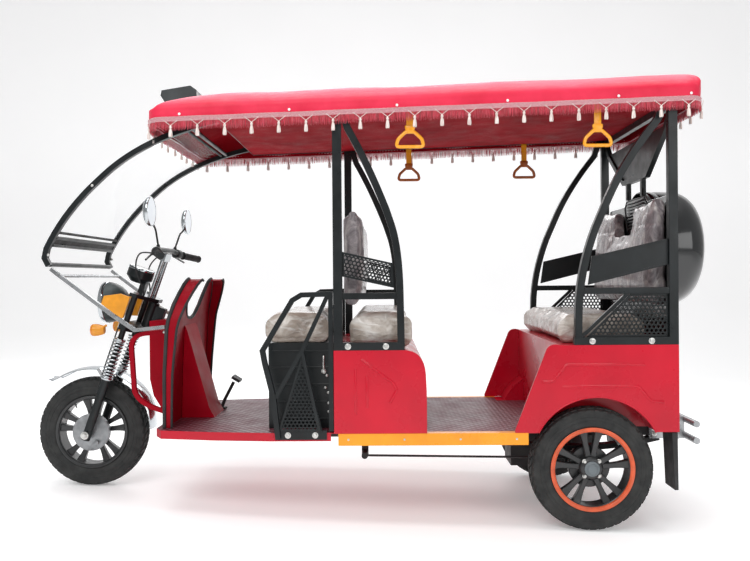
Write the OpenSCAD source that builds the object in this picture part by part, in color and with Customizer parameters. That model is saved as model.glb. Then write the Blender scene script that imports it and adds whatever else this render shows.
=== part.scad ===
// Battery three-wheeler passenger rickshaw, millimetres.
// Body frame: +X forward, +Y left, +Z up, X = 0 over the rear axle, Z = 0 at
// the rear tyre contact. The whole vehicle is then pitched nose down so that
// all three equal tyres stand on the ground, and centred on the origin.

/* [Vehicle] */
// Distance between the rear axle and the front axle
wheelbase = 2138; // [2118:1:2158]
// Distance between the two rear wheel centre planes
track = 835; // [825:1:845]
// How much higher the front axle sits in the body frame than the rear one
nose_drop = 78; // [60:1:95]
// Overall width over the side panels
body_w = 960; // [950:1:980]
// Height of the floor above the rear tyre contact
floor_z = 395; // [390:1:400]

/* [Wheels] */
// Outer diameter of all three tyres
tyre_d = 490; // [480:1:496]
// Section width of all three tyres
tyre_w = 95; // [90:1:98]
// Diameter of the bead seat
rim_d = 320; // [310:1:326]
// Number of spoke pairs in each cast wheel
spoke_pairs = 5; // [5:1:6]

/* [Roof] */
// Overall width of the canopy
canopy_w = 1000; // [990:1:1030]
// Height of the canopy rim at its rear edge
rim_rear = 1697; // [1690:1:1710]
// Height of the canopy rim at its front edge
rim_front = 1631; // [1625:1:1640]
// Rise of the crown above the rim
crown_h = 162; // [150:1:170]
// Thickness of the padded canopy skin
skin_t = 8; // [6:1:10]

/* [Frames] */
// Fore and aft size of the upright pillars
pillar_x = 36; // [32:1:38]
// Sideways size of the upright frames
frame_y = 30; // [26:1:32]
// Width of the bent frame tubes seen from the side
bent_w = 28; // [24:1:30]

/* [Steering] */
// Rake of the fork from upright, in degrees
rake = 19.65; // [18:0.05:21]
// Half the distance between the fork legs
leg_y = 95; // [92:1:98]
// Distance from the steering axis forward to the fork legs
fork_offset = 65; // [60:1:68]
// Half width of the handlebar
bar_half = 330; // [310:1:345]

/* [Hidden] */
$fn = 48;
wr = tyre_d / 2;
side_y = body_w / 2;
fy = side_y - frame_y;
pitch = atan2(nose_drop, wheelbase);
lift = wr * (1 - cos(pitch));
x_shift = -933.4;
roof_x0 = -443;
roof_x1 = 1750;
panel_t = 12;
mid_top = 722;
rear_top = 737;

function rim_z(x) = rim_rear - (x - roof_x0) * (rim_rear - rim_front) / (roof_x1 - roof_x0);
function seg_n(a, b) = let (d = b - a) [-d.y, d.x] / norm(d);
function vert_n(p, i) = i == 0 ? seg_n(p[0], p[1])
    : i == len(p) - 1 ? seg_n(p[i - 1], p[i])
    : let (n = seg_n(p[i - 1], p[i]) + seg_n(p[i], p[i + 1])) 2 * n / (n * n);
function band(p, w) = concat(
    [for (i = [0 : len(p) - 1]) p[i] + vert_n(p, i) * w / 2],
    [for (i = [len(p) - 1 : -1 : 0]) p[i] - vert_n(p, i) * w / 2]);
function arc(c, r, a0, a1, n) = [for (i = [0 : n])
    c + r * [cos(a0 + (a1 - a0) * i / n), sin(a0 + (a1 - a0) * i / n)]];
function curve(a, b, c, n) = [for (i = [0 : n]) let (t = i / n)
    (1 - t) * (1 - t) * a + 2 * t * (1 - t) * b + t * t * c];

// places the body frame on the ground, centred lengthwise
module on_ground() translate([x_shift, 0, lift]) rotate([0, pitch, 0]) children();
module both() { children(); mirror([0, 1, 0]) children(); }
module side(p, y0, y1) translate([0, y1, 0]) rotate([90, 0, 0]) linear_extrude(y1 - y0) polygon(p);
module front(p, x0, x1) translate([x0, 0, 0]) rotate([90, 0, 90]) linear_extrude(x1 - x0) polygon(p);
module plan(p, z0, z1) translate([0, 0, z0]) linear_extrude(z1 - z0) polygon(p);
module block(x0, x1, y0, y1, z0, z1) translate([x0, y0, z0]) cube([x1 - x0, y1 - y0, z1 - z0]);
module rail(p, w, y0, y1) side(band(p, w), y0, y1);
module bar_y(x, z, d, y0, y1) translate([x, y0, z]) rotate([-90, 0, 0]) cylinder(d = d, h = y1 - y0);
module tube(a, b, d) {
    v = b - a;
    translate(a) rotate([0, acos(v.z / norm(v)), atan2(v.y, v.x)]) cylinder(d = d, h = norm(v));
}
// fork frame: origin on the front axle, Z along the fork legs
module fork_at() translate([wheelbase, 0, wr + nose_drop]) rotate([0, -rake, 0]) children();

// ---------------------------------------------------------------- underframe
module chassis_frame() color("#1b1b1d") {
    both() block(-330, 1700, 230, 280, floor_z - 52, floor_z - 4);
    for (x = [-330, 60, 430, 800, 1170, 1640])
        block(x, x + 40, -231, 231, floor_z - 52, floor_z - 4);
}

function floor_half(t) = [[-334 + t, 338 - t], [262 + (t > 0 ? t : 0), 338 - t], [262 + (t > 0 ? t : 0), 440 - t],
    [1016, 440 - t], [1016, 455 - t], [1270, 455 - t], [1500, 432 - t], [1725, 392 - t], [1757 - t, 340 - t]];
function mirrored(p) = concat(p, [for (i = [len(p) - 1 : -1 : 0]) [p[i].x, -p[i].y]]);
module floor_pan() color("#7a2430") {
    plan(mirrored(floor_half(0)), floor_z - 4, floor_z);
    both() difference() {
        plan([[1030, 455], [1270, 455], [1500, 432], [1725, 392], [1757, 340], [1757, 0], [1030, 0]],
            floor_z - 34, floor_z - 3);
        plan([[1020, 451], [1270, 451], [1499, 428], [1722, 389], [1753, 338], [1753, -1], [1020, -1]],
            floor_z - 35, floor_z - 4);
    }
}

module side_step_rails() color("#f2a51c")
    both() block(254, 1000, 441, side_y - 2, floor_z - 48, floor_z);

module axle_beam() {
    bar_y(0, wr, 52, -352, 352);
    both() {
        bar_y(0, wr, 150, 352, 384);
        bar_y(0, wr, 24, 384, 436);
        block(-38, 38, 233, 277, wr + 22, wr + 34);
    }
    translate([0, 0, wr]) sphere(d = 190, $fn = 48);
}

// beam axle with its hub spindles, leaf springs and the motor as a plain block
module rear_axle() color("#242426") {
    axle_beam();
    block(20, 262, -85, 85, wr - 72, wr + 78);
    both() rail(curve([-325, floor_z - 63], [20, wr + 4], [400, floor_z - 63], 16), 22, 235, 275);
}

module rear_bumper() color("#c9cbce") {
    both() difference() {
        union() {
            block(-424, -334.5, 280, 290, 332, 422);
            block(-335, -280, 280, 290, 332, floor_z - 6);
        }
        bar_y(-376, 378, 18, 270, 300);
    }
    for (z = [343, 410]) bar_y(-432, z, 26, -400, 400);
}

module mud_flaps() color("#161617")
    both() side([[-330, floor_z - 3], [-308, floor_z - 3], [-318, 165], [-332, 165]], 362, 470);

module brake_linkage() color("#8f9194") {
    // pull rods from the underfloor lever to the rear drums
    both() {
        bar_y(900, 280, 26, 281, 356);
        block(886, 914, 281, 289, 266, floor_z - 5);
        tube([76, 350, 268], [892, 350, 281], 9);
        block(66, 84, 345, 351.5, wr - 8, 274);
    }
    // foot pedal on the floor
    translate([0, -141, 0]) side(band([[1586, floor_z + 8], [1572, 440], [1530, 520]], 14), 0, 12);
    side([[1500, 520], [1536, 542], [1530, 553], [1494, 531]], -168, -102);
    block(1566, 1606, -152, -118, floor_z, floor_z + 8);
}

// ---------------------------------------------------------------- front body
module cowl_block(t) side([[1729 + t, floor_z - t], [1772 - t, floor_z - t], [1834 - t, 496], [1850 - t, 570],
    [1850 - t, 824 - t], [1712 + t, 834 - t], [1715 + t, 790], [1723 + t, 620]], -120 + t, 120 - t);
module head_gusset() fork_at() translate([-fork_offset - 62, -18, 532]) cube([56, 36, 96]);
module front_cowl() color("#c3131f")
    difference() {
        cowl_block(0);
        cowl_block(4);
        head_gusset();
    }

module head_tube() color("#1b1b1d")
    difference() {
        union() {
            fork_at() translate([-fork_offset, 0, 522]) cylinder(d = 50, h = 116);
            head_gusset();
        }
        fork_at() translate([-fork_offset, 0, 500]) cylinder(d = 26.16, h = 160);
    }

shield = concat([[1722, floor_z], [1716, 620], [1706, 800]], curve([1702, 840], [1690, 910], [1652, 1008], 5));
module half_shield()
    intersection() {
        rail(shield, 12, -400, 400);
        front(concat([[0, floor_z]], [[352, floor_z], [368, 620], [366, 800], [330, 905], [262, 985],
            [214, 1012], [168, 995], [118, 890], [64, 842], [0, 832]]), 1600, 1780);
    }
module leg_shields() color("#c3131f") { both() half_shield(); cowl_guards(); }

module column_cover() color("#a8101b")
    difference() {
        side([[1715, floor_z], [1570, floor_z], [1594, 440], [1688, 780], [1699, 804], [1709, 620]], -100, 100);
        side([[1720, floor_z - 1], [1575, floor_z - 1], [1599, 440], [1692, 778], [1704, 800], [1716, 620]], -96, 96);
    }

module cowl_guards()
    both() rail(concat([[1714, 790]], curve([1800, 784], [1862, 780], [1862, 724], 6),
        curve([1852, 560], [1848, 496], [1728, 462], 8)), 18, 316, 334);

ws_path = concat([[2188, 1066], [2204, 1098]], curve([2196, 1136], [2130, 1270], [2016, 1382], 8),
    curve([1960, 1434], [1790, 1590], [1489, 1654.5], 12));
module windscreen_frame() color("#1b1b1d") {
    both() rail(ws_path, 22, 346, 368);
    bar_y(2190, 1072, 20, -347, 347);
    bar_y(2181, 1152, 16, -347, 347);
    bar_y(2166, 1182, 16, -347, 347);
    bar_y(1600, 1627, 18, -347, 347);
}

module windscreen() color("#dfe9ee")
    rail(concat(curve([2155, 1204], [2105, 1285], [2016, 1382], 6), curve([1960, 1434], [1800, 1578], [1622, 1622], 8)),
        3, -340, 340);

module windscreen_stay() color("#b9bcc0") {
    both() rail([[1714, 812], [1838, 800], [1930, 862], [2160, 1036], [2181, 1053.5]], 15, 346, 364);
    bar_y(2144, 1024, 15, -347, 347);
}

// ---------------------------------------------------------------- seats
module driver_seat_box() color("#232326")
    difference() {
        block(1017, 1290, -360, 360, floor_z, 744);
        block(1027, 1280, -350, 350, floor_z - 1, 734);
    }

module cushion(x0, x1, y, z0, z1, r) {
    side(concat([[x0, z0], [x1, z0]], arc([x1 - r, z1 - r], r, 0, 90, 6), arc([x0 + r, z1 - r], r, 90, 180, 6)), -y, y);
}
module driver_cushion() color("#b9b1a8") cushion(1019, 1318, 405, 744, 862, 38);
module middle_cushion() color("#b9b1a8") cushion(684, 974, 444, mid_top, 866, 42);
module middle_backrest() color("#b9b1a8")
    side(concat([[978, 870], [978, 1290]], arc([944, 1276], 32, 60, 180, 6), [[900, 1120], [906, 1000], [922, 870]]), -430, 430);
module rear_cushion() color("#b9b1a8") cushion(-252, 141, 444, rear_top, 850, 40);
module rear_backrest() color("#b9b1a8")
    difference() {
        side(concat([[-321.6, 856], [-321.6, 1322]], arc([-290, 1304], 30, 100, 0, 6), [[-238, 1080], [-244, 860]]), -436, 436);
        front([[-176, 1400], [-118, 1214], [118, 1214], [176, 1400]], -330, -200);
        both() front([[392, 1400], [440, 1268], [480, 1268], [480, 1400]], -330, -200);
    }
module rear_seat_shell() color("#18181a")
    front([[-444, rear_top], [444, rear_top], [444, 1262], [388, 1330], [160, 1330], [126, 1356],
        [-126, 1356], [-160, 1330], [-388, 1330], [-444, 1262]], -334, -322);

module middle_box_side(t) side(concat([[1016 - t, floor_z - (t > 0 ? 1 : 0)], [1016 - t, mid_top - t]],
    curve([742, mid_top - t], [660 + t, mid_top - t], [654 + t, 626], 8), [[651 + t, 560], [651 + t, floor_z - (t > 0 ? 1 : 0)]]),
    -side_y + t, side_y - t);
module middle_seat_box() color("#c3131f")
    difference() {
        middle_box_side(0);
        middle_box_side(panel_t);
    }

// ---------------------------------------------------------------- side frames
mid_curve = concat([[975, rim_z(975) + 4]], curve([955, 1596], [880, 1465], [806, 1276], 8),
    curve([784, 1210], [756, 1120], [753, 950], 8), [[750, 752]]);
module middle_frames() color("#1b1b1d")
    both() {
        side([[980, mid_top], [980 + pillar_x, mid_top], [980 + pillar_x, rim_z(1016) + 4], [980, rim_z(980) + 4]], fy, side_y);
        block(736, 1016, fy, side_y, mid_top, mid_top + 30);
        block(754, 990, fy + 2, side_y - 2, 922, 947);
        intersection() {
            rail(mid_curve, bent_w, fy, side_y);
            side([[700, mid_top], [1016, mid_top], [1016, rim_z(1016) + 4], [700, rim_z(700) + 4]], fy - 1, side_y + 1);
        }
    }

rear_curve = concat([[-288, rim_z(-288) + 4]], curve([-258, 1616], [-130, 1460], [-64, 1310], 8),
    curve([-14, 1196], [52, 1020], [54, 860], 8), [[56, 767]]);
module rear_frames() color("#1b1b1d")
    both() {
        side([[-334, rear_top], [-334 + pillar_x, rear_top], [-334 + pillar_x, rim_z(-298) + 4], [-334, rim_z(-334) + 4]], fy, side_y);
        block(-334, 72, fy, side_y, rear_top, rear_top + 30);
        block(-300, 50, fy + 2, side_y - 2, 936, 961);
        intersection() {
            rail(rear_curve, bent_w, fy, side_y);
            side([[-334, rear_top], [100, rear_top], [100, rim_z(100) + 4], [-334, rim_z(-334) + 4]], fy - 1, side_y + 1);
        }
        rail([[44, 766], [-140, 938]], 14, fy + 8, side_y - 8);
    }

module lattice_panels() color("#1b1b1d") both() {
    side([[979.8, 1110], [782, 1064], [776, 966], [979.8, 1012]], fy + 13, fy + 17);
    side([[-297.8, 767.2], [22, 767.2], [-150, 935.8], [-297.8, 935.8]], fy + 13, fy + 17);
    side([[-297.8, 1050], [16, 972], [0, 1084], [-297.8, 1152]], fy + 12, fy + 18);
}

module armrest_frames() color("#1b1b1d") both() {
    rail([[1018, 944], [1142, 941], [1178, 920], [1297, 722], [1288, 672], [1254, 533], [1238, 372]], 20, 456, side_y - 2);
    rail([[1038, 940], [1140, 722], [1246, 536]], 16, 458, side_y - 4);
    block(1046, 1246, 456, 461, 368, 405);
    side([[1140, 700], [1234, 404], [1066, 404]], 462, 466);
    rail([[1140, 716], [1074, 404]], 12, 459, side_y - 5);
    block(1018, 1036, 458, side_y - 4, 405, 945);
}

// ---------------------------------------------------------------- rear body
arch_c = [-14, 275];
arch_r = 259;
module rear_outline(t) polygon(concat([[306 - t, floor_z + 10]], curve([188, 706], [176, 752], [128, rear_top], 6),
    [[-334, rear_top], [-334, floor_z]], [[306 - t, floor_z]]));
module rear_side_panels() color("#c3131f") both()
    difference() {
        translate([0, side_y, 0]) rotate([90, 0, 0]) linear_extrude(panel_t) rear_outline(0);
        bar_y(arch_c.x, arch_c.y, 2 * arch_r, 300, 500);
    }

module rear_seat_box() color("#c3131f")
    difference() {
        block(-334, 130, -side_y + panel_t, side_y - panel_t, floor_z, rear_top);
        difference() {
            block(-322, 118, -side_y + panel_t + 6, side_y - panel_t - 6, floor_z - 1, rear_top - panel_t);
            both() bar_y(arch_c.x, arch_c.y, 2 * arch_r + 20, 340, 500);
        }
        both() bar_y(arch_c.x, arch_c.y, 2 * arch_r + 8, 346, 500);
        // number plate fixing holes in the rear wall
        for (y = [-70, 70]) translate([-340, y, 600]) rotate([0, 90, 0]) cylinder(d = 7, h = 30);
    }

module rear_upper_frame() {
    block(-334, -310, -fy, fy, rim_z(-322) - 26, rim_z(-322) + 3);
    intersection() {
        both() front(band([[460, 1684], [392, 1604], [158, 1442], [0, 1440]], 22), -334, -312);
        block(-340, -300, -fy, fy, 1400, rim_z(-322) - 20);
    }
    both() front([[92, 1357], [112, 1357], [112, 1432], [92, 1432]], -333, -313);
    front([[-300, 1560], [300, 1560], [152, 1452], [-152, 1452]], -326, -320);
    front([[-372, 1612], [372, 1612], [300, 1556], [-300, 1556]], -326, -320);
}

module tail_lamps() color("#b0141c") both() {
    translate([-334, 372, 640]) rotate([0, -90, 0]) cylinder(d = 78, h = 24);
    translate([-334, 372, 556]) rotate([0, -90, 0]) cylinder(d = 62, h = 20);
}

// ---------------------------------------------------------------- roof
module roof_frame() color("#1b1b1d") {
    rear_upper_frame();
    both() side([[-334, rim_z(-334) + 4], [1486, rim_z(1486) + 4], [1486, rim_z(1486) + 30], [-334, rim_z(-334) + 30]], fy, side_y);
    for (x = [-334, 330, 980, 1450])
        side([[x, rim_z(x) + 4], [x + 36, rim_z(x + 36) + 4], [x + 36, rim_z(x + 36) + 30], [x, rim_z(x) + 30]], -fy, fy);
    both() side([[-299, rim_z(-299) + 10], [1451, rim_z(1451) + 10], [1451, rim_z(1451) + 28], [-299, rim_z(-299) + 28]], 140, 160);
}

function roof_side(t) = [[roof_x1 - t, rim_z(roof_x1) - (t > 0 ? 20 : 0)], [roof_x1 - t, rim_z(roof_x1) + 44],
    [1690 - t / 2, rim_z(1690) + 76 - t], [1560, rim_z(1560) + 122 - t], [1420, rim_z(1420) + 152 - t], [1230, rim_z(1230) + crown_h - t],
    [-360, rim_z(-360) + crown_h - t], [-412 + t / 2, rim_z(-412) + crown_h - 14 - t], [roof_x0 + t, rim_z(roof_x0) + 112],
    [roof_x0 + t, rim_z(roof_x0) - (t > 0 ? 20 : 0)]];
function roof_cross(t) = [[canopy_w / 2 - t, t > 0 ? -40 : -4], [canopy_w / 2 - t, 44], [canopy_w / 2 - 98 - t / 2, 114 - t],
    [250, crown_h - 12 - t], [110, crown_h - 2 - t], [0, crown_h - t]];
function across(p) = concat(p, [for (i = [len(p) - 2 : -1 : 0]) [-p[i].x, p[i].y]]);
module canopy_form(t) intersection() {
    side(roof_side(t), -600, 600);
    translate([roof_x0, 0, rim_rear]) rotate([0, atan2(rim_rear - rim_front, roof_x1 - roof_x0), 0])
        front(across(roof_cross(t)), -60, 2300);
}
module canopy() color("#d0202c")
    difference() {
        canopy_form(0);
        canopy_form(skin_t);
    }

module roof_lamp() color("#3a3d40")
    difference() {
        side([[1640, 1700], [1640, 1846], [1668, 1866], [1796, 1846], [1800, 1826], [1768, 1776], [1730, 1700]], -92, 92);
        canopy_form(0);
        block(1600, 1820, -100, 100, 1600, 1690);
    }

// hanging stirrup handle: y is the sideways place, top is the strap's upper end
function grip_outline(w, n, h) = concat(arc([-w + 8, 8], 8, 270, 155, 4), [[-n, h]], [[n, h]], arc([w - 8, 8], 8, 25, -90, 4));
module grab_handle(x, y, top, low) {
    translate([x, y + 6.5, low]) rotate([90, 0, 0]) linear_extrude(13)
        difference() {
            polygon(grip_outline(64, 25, 80));
            translate([0, 15]) polygon(grip_outline(45, 14, 50));
        }
    block(x - 14, x + 14, y - 2, y + 2, low + 78, top);
}
module grab_handles() color("#f0a01e") {
    grab_handle(709, fy + 12, rim_z(723) + 4, 1514);
    grab_handle(-28, fy + 12, rim_z(-14) + 4, 1512);
    grab_handle(685, -fy - 12, rim_z(699) + 4, 1500);
    grab_handle(96, -fy - 12, rim_z(110) + 4, 1508);
}

// ---------------------------------------------------------------- spare wheel
module spare_at() translate([-392, 0, 1130]) rotate([0, 0, 90]) children();
module spare_wheel() color("#1c1c1e") {
    spare_at() wheel_body();
    translate([-334, 0, 1130]) rotate([0, -90, 0]) cylinder(d = 90, h = 30);
}
module spare_cover() color("#141416")
    translate([-337, 0, 1130]) rotate([0, -90, 0]) rotate_extrude($fn = 96)
        polygon(concat([[249, 0], [253, 0]], [[253, 96]], arc([150, 118], 103, 0, 90, 8) + [for (i = [0 : 8]) [0, 4]], [[0, 231]],
            [[0, 227]], [for (i = [8 : -1 : 0]) [150, 118] + 99 * [cos(i * 90 / 8), sin(i * 90 / 8)] + [0, 4]], [[249, 96]]));

// ---------------------------------------------------------------- wheels
function sgn_pow(v, e) = sign(v) * pow(abs(v), e);
module wheel_body(bore = 0, cap = 0) {
    half = tyre_w / 2;
    rc = (wr + rim_d / 2 - 8) / 2;
    sh = wr - rc;
    // tyre
    rotate([-90, 0, 0]) rotate_extrude($fn = 96)
        polygon([for (a = [0 : 15 : 345]) [max(rim_d / 2 - 4, rc + sh * sgn_pow(cos(a), 0.75)), half * sgn_pow(sin(a), 0.75)]]);
    // rim barrel, flanges and spokes
    difference() {
        union() {
            rotate([-90, 0, 0]) rotate_extrude($fn = 96)
                polygon([[rim_d / 2 - 14, -37], [rim_d / 2 - 8, -44], [rim_d / 2 + 4, -44], [rim_d / 2 + 4, -41], [rim_d / 2, -39],
                    [rim_d / 2, 39], [rim_d / 2 + 4, 41], [rim_d / 2 + 4, 44], [rim_d / 2 - 8, 44], [rim_d / 2 - 14, 37]]);
            for (i = [0 : spoke_pairs - 1], s = [-1, 1]) rotate([0, i * 360 / spoke_pairs + s * 12, 0])
                translate([28, -10, -9]) cube([rim_d / 2 - 36, 20, 18]);
            translate([0, -34, 0]) rotate([-90, 0, 0]) cylinder(d = 98, h = 68);
            if (cap > 0) translate([0, 30, 0]) rotate([-90, 0, 0]) cylinder(d = 56, h = cap - 30);
        }
        if (bore > 0) translate([0, -60, 0]) rotate([-90, 0, 0]) cylinder(d = bore, h = cap > 0 ? 92 : 120);
    }
}

module front_wheel() color("#1c1c1e")
    translate([wheelbase, 0, wr + nose_drop]) difference() {
        wheel_body(20.16);
        translate([0, 22, 0]) rotate([-90, 0, 0]) cylinder(d = 180, h = 40);
    }
module rear_wheel(s) color("#1c1c1e")
    translate([0, s * track / 2, wr]) mirror([0, s < 0 ? 1 : 0, 0]) difference() {
        wheel_body(24.16, 44);
        translate([0, -60, 0]) rotate([-90, 0, 0]) cylinder(d = 168, h = 45);
    }
module rear_wheel_left() rear_wheel(1);
module rear_wheel_right() rear_wheel(-1);

// ---------------------------------------------------------------- steering
module fork() color("#202022") { fork_body(); front_brake(); }
module fork_body() fork_at() {
    both() {
        translate([0, leg_y, -26]) cylinder(d = 38, h = 286);
        translate([0, leg_y, 259]) cylinder(d = 26, h = 232);
    }
    // lower and upper yokes
    for (z = [490, 644]) difference() {
        translate([0, 0, z]) linear_extrude(z == 490 ? 28 : 16)
            polygon([[-fork_offset - 25, -30], [-fork_offset - 25, 30], [-12, leg_y + 22], [20, leg_y + 22], [20, -leg_y - 22], [-12, -leg_y - 22]]);
    }
    both() translate([0, leg_y, 516]) cylinder(d = 26, h = 130);
    // stem through the head tube and riser to the handlebar
    translate([-fork_offset, 0, 500]) cylinder(d = 26, h = 150);
    both() translate([-46, 32, 658]) cylinder(d = 18, h = 180);
    translate([-58, -45, 832]) cube([26, 90, 36]);
}

module fork_springs() color("#cfd2d6") fork_at() both()
    difference() {
        translate([0, leg_y, 266]) cylinder(d = 50, h = 182);
        translate([0, leg_y, 260]) cylinder(d = 26.6, h = 200);
    }

module handlebar() color("#1d1d1f") {
    p = [[1808, 0, 1140], [1808, 110, 1140], [1790, 190, 1122], [1738, bar_half, 1106]];
    both() {
        tube([1808, -0.01, 1140], [1808, 110, 1140], 22);
        for (i = [1, 2]) {
            tube(p[i], p[i + 1], i == 2 ? 24 : 22);
            translate(p[i]) sphere(d = 24, $fn = 32);
        }
        // brake lever
        tube([1822, 168, 1118], [1806, 306, 1090], 9);
        tube([1796, 172, 1126], [1824, 172, 1116], 12);
    }
    // instrument cup on its bracket from the upper yoke
    translate([1930, 0, 1016]) rotate([0, -rake, 0]) {
        cylinder(d = 118, h = 44);
        translate([0, 0, -22]) cylinder(d1 = 70, d2 = 118, h = 22);
    }
    fork_at() translate([-6, -24, 660]) cube([24, 48, 50]);
}

module headlight() color("#26282b") translate([2043, 0, 905]) rotate([0, 90, 0]) {
    translate([0, 0, 26]) cylinder(d = 190, h = 26);
    translate([0, 0, -30]) cylinder(d1 = 150, d2 = 184, h = 56);
    translate([0, 0, -62]) cylinder(d1 = 84, d2 = 150, h = 32);
}

module front_lamps() color("#f08a1c") {
    // ears that carry the headlight
    both() fork_at() translate([0, leg_y + 14, 0]) rotate([90, 0, 0]) linear_extrude(4)
        polygon([[16, 540], [16, 640], [60, 640], [128, 606], [128, 560], [60, 528]]);
    // indicators
    both() {
        translate([2078, 142, 788]) rotate([0, 90, 0]) cylinder(d = 54, h = 22);
        translate([2040, 142, 788]) rotate([0, 90, 0]) cylinder(d1 = 34, d2 = 54, h = 38);
        tube([2044, 108, 806], [2058, 142, 792], 10);
    }
}

module mirrors() color("#c9ccd0") both() {
    tube([1803.4, 133.5, 1151], [1796, 196, 1222], 9);
    translate([1796, 196, 1222]) sphere(d = 11, $fn = 32);
    tube([1796, 196, 1222], [1790, 292, 1262], 9);
    translate([1792, 300, 1290]) rotate([0, -90, 0]) cylinder(d = 124, h = 12);
    translate([1791, 300, 1290]) rotate([0, 90, 0]) cylinder(d1 = 116, d2 = 60, h = 19);
}

guard = concat([[2326, 566], [2309, 559]],
    arc([wheelbase, wr + nose_drop], 287, 58, 148, 14), [[1872, 420], [1866, 335]]);
module front_mudguard() color("#c9ccd0") {
    rail(guard, 4, -58, 58);
    both() {
        // front stay to the slider, rear stay to the yoke side of the leg
        side(band([[2060, 538], [2102, 609]], 14), 55, 61);
        bar_y(2062, 541, 11, 57, 75);
        side(band([[2052, 560], [2032, 612]], 16), 55, 61);
        bar_y(2048, 588, 11, 57, 70);
    }
}

module front_brake() {
    ax = [wheelbase, 0, wr + nose_drop];
    translate(ax) {
        translate([0, -128, 0]) rotate([-90, 0, 0]) cylinder(d = 20, h = 256);
        translate([0, 30, 0]) rotate([-90, 0, 0]) cylinder(d = 164, h = 22);
        translate([0, 50, 0]) rotate([-90, 0, 0]) cylinder(d = 40, h = 26);
    }
}

on_ground() chassis_frame();
on_ground() floor_pan();
on_ground() side_step_rails();
on_ground() front_cowl();
on_ground() head_tube();
on_ground() leg_shields();
on_ground() column_cover();
on_ground() windscreen_frame();
on_ground() windscreen();
on_ground() windscreen_stay();
on_ground() driver_seat_box();
on_ground() driver_cushion();
on_ground() armrest_frames();
on_ground() middle_seat_box();
on_ground() middle_cushion();
on_ground() middle_backrest();
on_ground() middle_frames();
on_ground() lattice_panels();
on_ground() rear_side_panels();
on_ground() rear_seat_box();
on_ground() rear_cushion();
on_ground() rear_backrest();
on_ground() rear_seat_shell();
on_ground() rear_frames();
on_ground() roof_frame();
on_ground() canopy();
on_ground() roof_lamp();
on_ground() grab_handles();
on_ground() rear_axle();
on_ground() rear_bumper();
on_ground() mud_flaps();
on_ground() spare_wheel();
on_ground() spare_cover();
on_ground() tail_lamps();
on_ground() brake_linkage();
on_ground() fork();
on_ground() fork_springs();
on_ground() handlebar();
on_ground() headlight();
on_ground() front_lamps();
on_ground() mirrors();
on_ground() front_mudguard();
on_ground() front_wheel();
on_ground() rear_wheel_left();
on_ground() rear_wheel_right();
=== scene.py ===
import bpy
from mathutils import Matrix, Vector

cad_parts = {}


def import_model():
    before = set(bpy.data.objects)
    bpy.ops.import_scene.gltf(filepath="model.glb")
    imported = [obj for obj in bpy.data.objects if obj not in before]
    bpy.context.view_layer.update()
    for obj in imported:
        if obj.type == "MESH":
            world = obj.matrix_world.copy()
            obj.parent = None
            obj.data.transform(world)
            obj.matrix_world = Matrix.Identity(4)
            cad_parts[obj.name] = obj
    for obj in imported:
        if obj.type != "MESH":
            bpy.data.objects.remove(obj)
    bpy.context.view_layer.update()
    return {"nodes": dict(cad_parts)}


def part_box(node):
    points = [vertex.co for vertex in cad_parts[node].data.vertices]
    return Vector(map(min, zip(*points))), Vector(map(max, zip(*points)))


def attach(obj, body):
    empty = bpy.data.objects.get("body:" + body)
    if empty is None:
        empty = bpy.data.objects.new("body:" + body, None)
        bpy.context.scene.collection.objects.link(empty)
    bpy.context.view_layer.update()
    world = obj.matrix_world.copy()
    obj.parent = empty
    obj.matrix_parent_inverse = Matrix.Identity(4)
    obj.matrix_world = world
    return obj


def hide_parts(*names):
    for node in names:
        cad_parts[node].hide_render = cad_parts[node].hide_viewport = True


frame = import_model()
import bpy, bmesh, math, random
from mathutils import Vector, Matrix, noise

N = frame["nodes"]
ROOT, STEER = "vehicle_body", "steering"

# ------------------------------------------------------------------ body frame to row frame
WB, DROP, R, XS = 2138.0, 78.0, 245.0, -933.4
PITCH = math.atan2(DROP, WB)
CP, SP = math.cos(PITCH), math.sin(PITCH)
LIFT = R * (1 - CP)
MB = Matrix(((CP / 1000, 0, SP / 1000, XS / 1000), (0, 1 / 1000, 0, 0), (-SP / 1000, 0, CP / 1000, LIFT / 1000), (0, 0, 0, 1)))
MR = Matrix(((CP, 0, SP), (0, 1, 0), (-SP, 0, CP)))


def P(x, y, z):
    return MB @ Vector((x, y, z))


def rim_z(x):
    return 1697 - (x + 443) * 66 / 2193


# ------------------------------------------------------------------ camera at the photo's view
def camera():
    yaw, pit, roll, f = -0.0130, -0.0022, -0.0079, 777.6
    right, up, fwd = Vector((-1, 0, 0)), Vector((0, 0, 1)), Vector((0, -1, 0))
    r1 = math.cos(yaw) * right - math.sin(yaw) * fwd
    f1 = math.sin(yaw) * right + math.cos(yaw) * fwd
    u2 = math.cos(pit) * up - math.sin(pit) * f1
    f2 = math.sin(pit) * up + math.cos(pit) * f1
    r3 = math.cos(roll) * r1 + math.sin(roll) * u2
    u3 = math.cos(roll) * u2 - math.sin(roll) * r1
    cam = bpy.data.cameras.new("camera")
    cam.lens, cam.sensor_width, cam.sensor_fit = 36 * f / 750, 36, "HORIZONTAL"
    cam.clip_start, cam.clip_end = 0.05, 60
    ob = bpy.data.objects.new("camera", cam)
    m = Matrix((MR @ r3, MR @ u3, -(MR @ f2))).transposed().to_4x4()
    m.translation = P(811.2, 3527.9, 1002.5)
    ob.matrix_world = m
    bpy.context.scene.collection.objects.link(ob)
    bpy.context.scene.camera = ob
    return ob


camera()


# ------------------------------------------------------------------ materials
def lin(c):
    return tuple(((v / 255 + 0.055) / 1.055) ** 2.4 if v > 10 else v / 255 / 12.92 for v in c) + (1,)


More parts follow.
